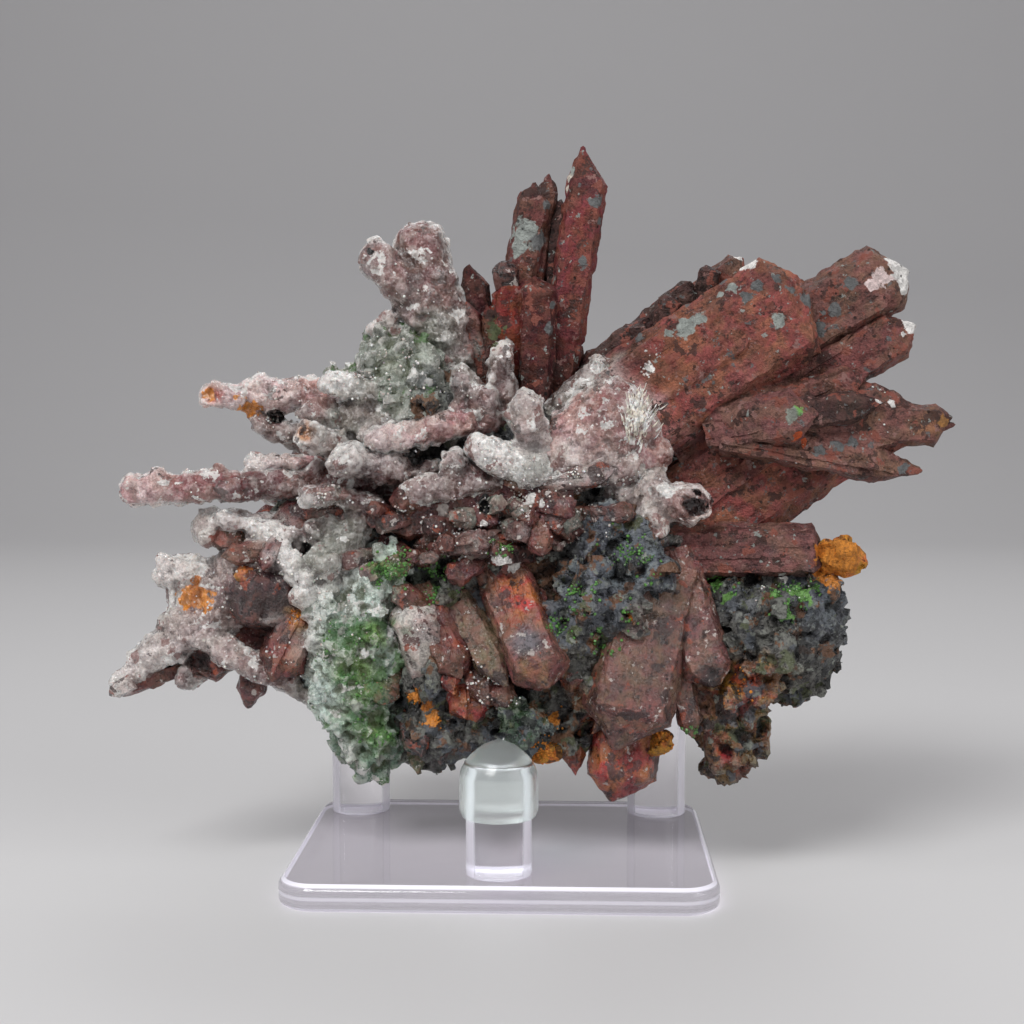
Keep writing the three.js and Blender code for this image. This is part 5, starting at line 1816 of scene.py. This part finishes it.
def grain_material(name, colour, second, roughness, subsurface=0.0, specular=0.5):
    """Small grains of one mineral, each patch a little different."""
    material, tree = new_material(name)
    coords = object_coords(tree)
    share = ramp(tree, noise(tree, coords, 2.2, 4, 0.6), 0.35, 0.65)
    mixed = mix(tree, share, rgba(colour), rgba(second))
    value = spread(tree, noise(tree, coords, 0.7, 3), 0.7, 1.25)
    mixed = out(tree, "ShaderNodeHueSaturation", {"Value": value, "Color": mixed})
    gloss = spread(tree, noise(tree, coords, 1.0, 2), roughness * 0.7, roughness * 1.3)
    surface = out(tree, "ShaderNodeBsdfPrincipled", {
        "Base Color": mixed, "Roughness": gloss, "Subsurface Weight": subsurface,
        "Subsurface Scale": 0.0008, "Specular IOR Level": specular,
    })
    node(tree, "ShaderNodeOutputMaterial", {"Surface": surface})
    return material


class QUARTZ_OT_small_crystals(bpy.types.Operator):
    """Scatters the white druse, the green grains and the ochre grains"""
    bl_idname = "quartz.small_crystals"
    bl_label = "Small crystals"

    def execute(self, context):
        dense = context.scene.quartz_cluster.druse_density
        scatter(
            "druse_grains", WHITE_DRUSE, grain_material("White druse", "white", "pale", 0.22, 0.2, 0.6),
            {"Density": dense, "Smallest": 0.12, "Largest": 0.5, "Slenderness": 1.0, "Tilt": 0.8, "Seed": 3})
        scatter(
            "green_grains", GREEN_DRUSE, grain_material("Green grains", "brightGreen", "green", 0.4, 0.1),
            {"Density": 4.5, "Smallest": 0.18, "Largest": 0.62, "Slenderness": 0.9, "Tilt": 0.9, "Seed": 5})
        scatter(
            "ochre_grains", OCHRE_DRUSE, grain_material("Ochre grains", "ochre", "amber", 0.7, 0.0, 0.3),
            {"Density": 3.6, "Smallest": 0.18, "Largest": 0.6, "Slenderness": 0.7, "Tilt": 1.0, "Seed": 7})
        return {"FINISHED"}


class QUARTZ_OT_fibres(bpy.types.Operator):
    """Lays fine white fibres fanning out over the frosted root of the broad blade"""
    bl_idname = "quartz.fibres"
    bl_label = "White fibres"

    def execute(self, context):
        find = front_finder(*whole_skin(cluster_pieces()))
        rng = np.random.default_rng(FIBRE_SEED)
        shapes = []
        for _ in range(FIBRE_COUNT):
            across, up = rng.normal(26, 1.5), rng.normal(88.6, 2.4)
            angle = math.radians(80 - 9 * (across - 26) + rng.normal(0, 7))
            reach = rng.uniform(0.8, 2.4)
            path = []
            for t in np.linspace(-0.5, 0.5, 6):
                bend = angle + 0.2 * t
                spot = find(across + reach * t * math.cos(bend), up + reach * t * math.sin(bend))
                if spot is not None:
                    path.append(spot + unit(VIEWPOINT - spot) * 0.04)
            path = np.array(path)
            if len(path) < 6 or np.linalg.norm(np.diff(path, axis=0), axis=1).max() > 3.5:
                continue
            shapes.append(fibre(path, rng.uniform(0.1, 0.24)))
        points, faces, _ = join(shapes)
        piece = new_object("white_fibres", points, faces)
        dress(piece, [CLUSTER], "quartz", grain_material("White fibres", "cream", "white", 0.7, 0.1, 0.3))
        return {"FINISHED"}


# ---- The stage ----

CAMERA_YAW = math.radians(2.1)
CAMERA_PITCH = math.radians(4.08)
LIT_MIDDLE = (0, 0, 0.07)  # where the lights point, in metres
STRIP_POWER = 0.55  # of each narrow light at the sides


def area_light(name, power, size, place_at):
    light = bpy.data.lights.new(name, "AREA")
    light.energy = power
    light.shape = "RECTANGLE"
    light.size, light.size_y = size
    lamp = bpy.data.objects.new(name, light)
    lamp.location = place_at
    lamp.rotation_euler = (Vector(LIT_MIDDLE) - Vector(place_at)).to_track_quat("-Z", "Y").to_euler()
    bpy.context.scene.collection.objects.link(lamp)


class QUARTZ_OT_stage(bpy.types.Operator):
    """Makes the floor and backdrop, the lights and the camera"""
    bl_idname = "quartz.stage"
    bl_label = "Stage"

    def execute(self, context):
        stage = context.scene.quartz_stage
        curve = np.linspace(0.15, math.pi / 2, 10)
        depth = [-1.5, 0.7, *(0.7 + 0.5 * math.sin(t) for t in curve), 1.2]
        height = [0, 0, *(0.5 - 0.5 * math.cos(t) for t in curve), 2.4]
        points = [(x, y / MM, z / MM) for y, z in zip(depth, height) for x in (-1800, 1800)]
        faces = [(2 * i, 2 * i + 1, 2 * i + 3, 2 * i + 2) for i in range(len(depth) - 1)]
        floor = new_object("floor", np.array(points, float), faces)
        smooth_shade(floor.data)
        material, tree = new_material("Pale floor")
        pale = (*stage.floor_colour, 1)
        surface = out(tree, "ShaderNodeBsdfPrincipled", {"Base Color": pale, "Roughness": 0.55})
        node(tree, "ShaderNodeOutputMaterial", {"Surface": surface})
        floor.data.materials.append(material)
        area_light("Key light", stage.key_power, (0.42, 0.36), (-0.3, -0.55, 0.75))
        area_light("Fill light", stage.fill_power, (0.5, 0.6), (0.65, -0.5, 0.35))
        for side, across in (("Left", -0.62), ("Right", 0.62)):
            area_light(f"{side} strip light", STRIP_POWER, (0.025, 0.7), (across, -0.25, 0.42))
        area_light("Back light", stage.back_power, (0.8, 0.4), (0.1, 0.6, 0.7))
        world = bpy.data.worlds.new("Pale room")
        world.use_nodes = True
        background = world.node_tree.nodes["Background"].inputs
        background["Color"].default_value = (0.9, 0.88, 0.93, 1)
        background["Strength"].default_value = 0.29
        context.scene.world = world
        camera = bpy.data.cameras.new("Camera")
        camera.sensor_width = 36
        camera.lens = stage.lens
        camera.clip_start, camera.clip_end = 0.01, 10
        view = bpy.data.objects.new("Camera", camera)
        view.location = VIEWPOINT * MM
        view.rotation_euler = (math.pi / 2 - CAMERA_PITCH, 0, CAMERA_YAW)
        context.scene.collection.objects.link(view)
        context.scene.camera = view
        context.scene.view_settings.view_transform = "Standard"
        return {"FINISHED"}


# ---- Panel and registration ----

OPERATORS = (
    QUARTZ_OT_base_plate, QUARTZ_OT_pegs, QUARTZ_OT_caps, QUARTZ_OT_red_blades, QUARTZ_OT_stout_crystals,
    QUARTZ_OT_coated_fingers, QUARTZ_OT_dark_rock, QUARTZ_OT_green_crust, QUARTZ_OT_ochre_lumps,
    QUARTZ_OT_open_hollows, QUARTZ_OT_paint, QUARTZ_OT_small_crystals, QUARTZ_OT_fibres, QUARTZ_OT_stage,
)


class QUARTZ_PT_panel(bpy.types.Panel):
    """Shows the settings and the buttons that build the cluster and its stand"""
    bl_idname = "QUARTZ_PT_panel"
    bl_label = "Quartz cluster"
    bl_space_type = "VIEW_3D"
    bl_region_type = "UI"
    bl_category = "Quartz"

    def draw(self, context):
        scene = context.scene
        for settings in (scene.quartz_cluster, scene.quartz_stand, scene.quartz_stage):
            box = self.layout.box()
            for name in settings.__annotations__:
                box.prop(settings, name)
        for operator in OPERATORS:
            self.layout.operator(operator.bl_idname)


CLASSES = (QuartzSettings, StandSettings, StageSettings, *OPERATORS, QUARTZ_PT_panel)


def register():
    for item in CLASSES:
        bpy.utils.register_class(item)
    bpy.types.Scene.quartz_cluster = PointerProperty(type=QuartzSettings)
    bpy.types.Scene.quartz_stand = PointerProperty(type=StandSettings)
    bpy.types.Scene.quartz_stage = PointerProperty(type=StageSettings)


def unregister():
    del bpy.types.Scene.quartz_stage, bpy.types.Scene.quartz_stand, bpy.types.Scene.quartz_cluster
    for item in reversed(CLASSES):
        bpy.utils.unregister_class(item)


def main():
    register()
    for operator in OPERATORS:
        group, name = operator.bl_idname.split(".")
        getattr(getattr(bpy.ops, group), name)()


if __name__ == "__main__":
    main()
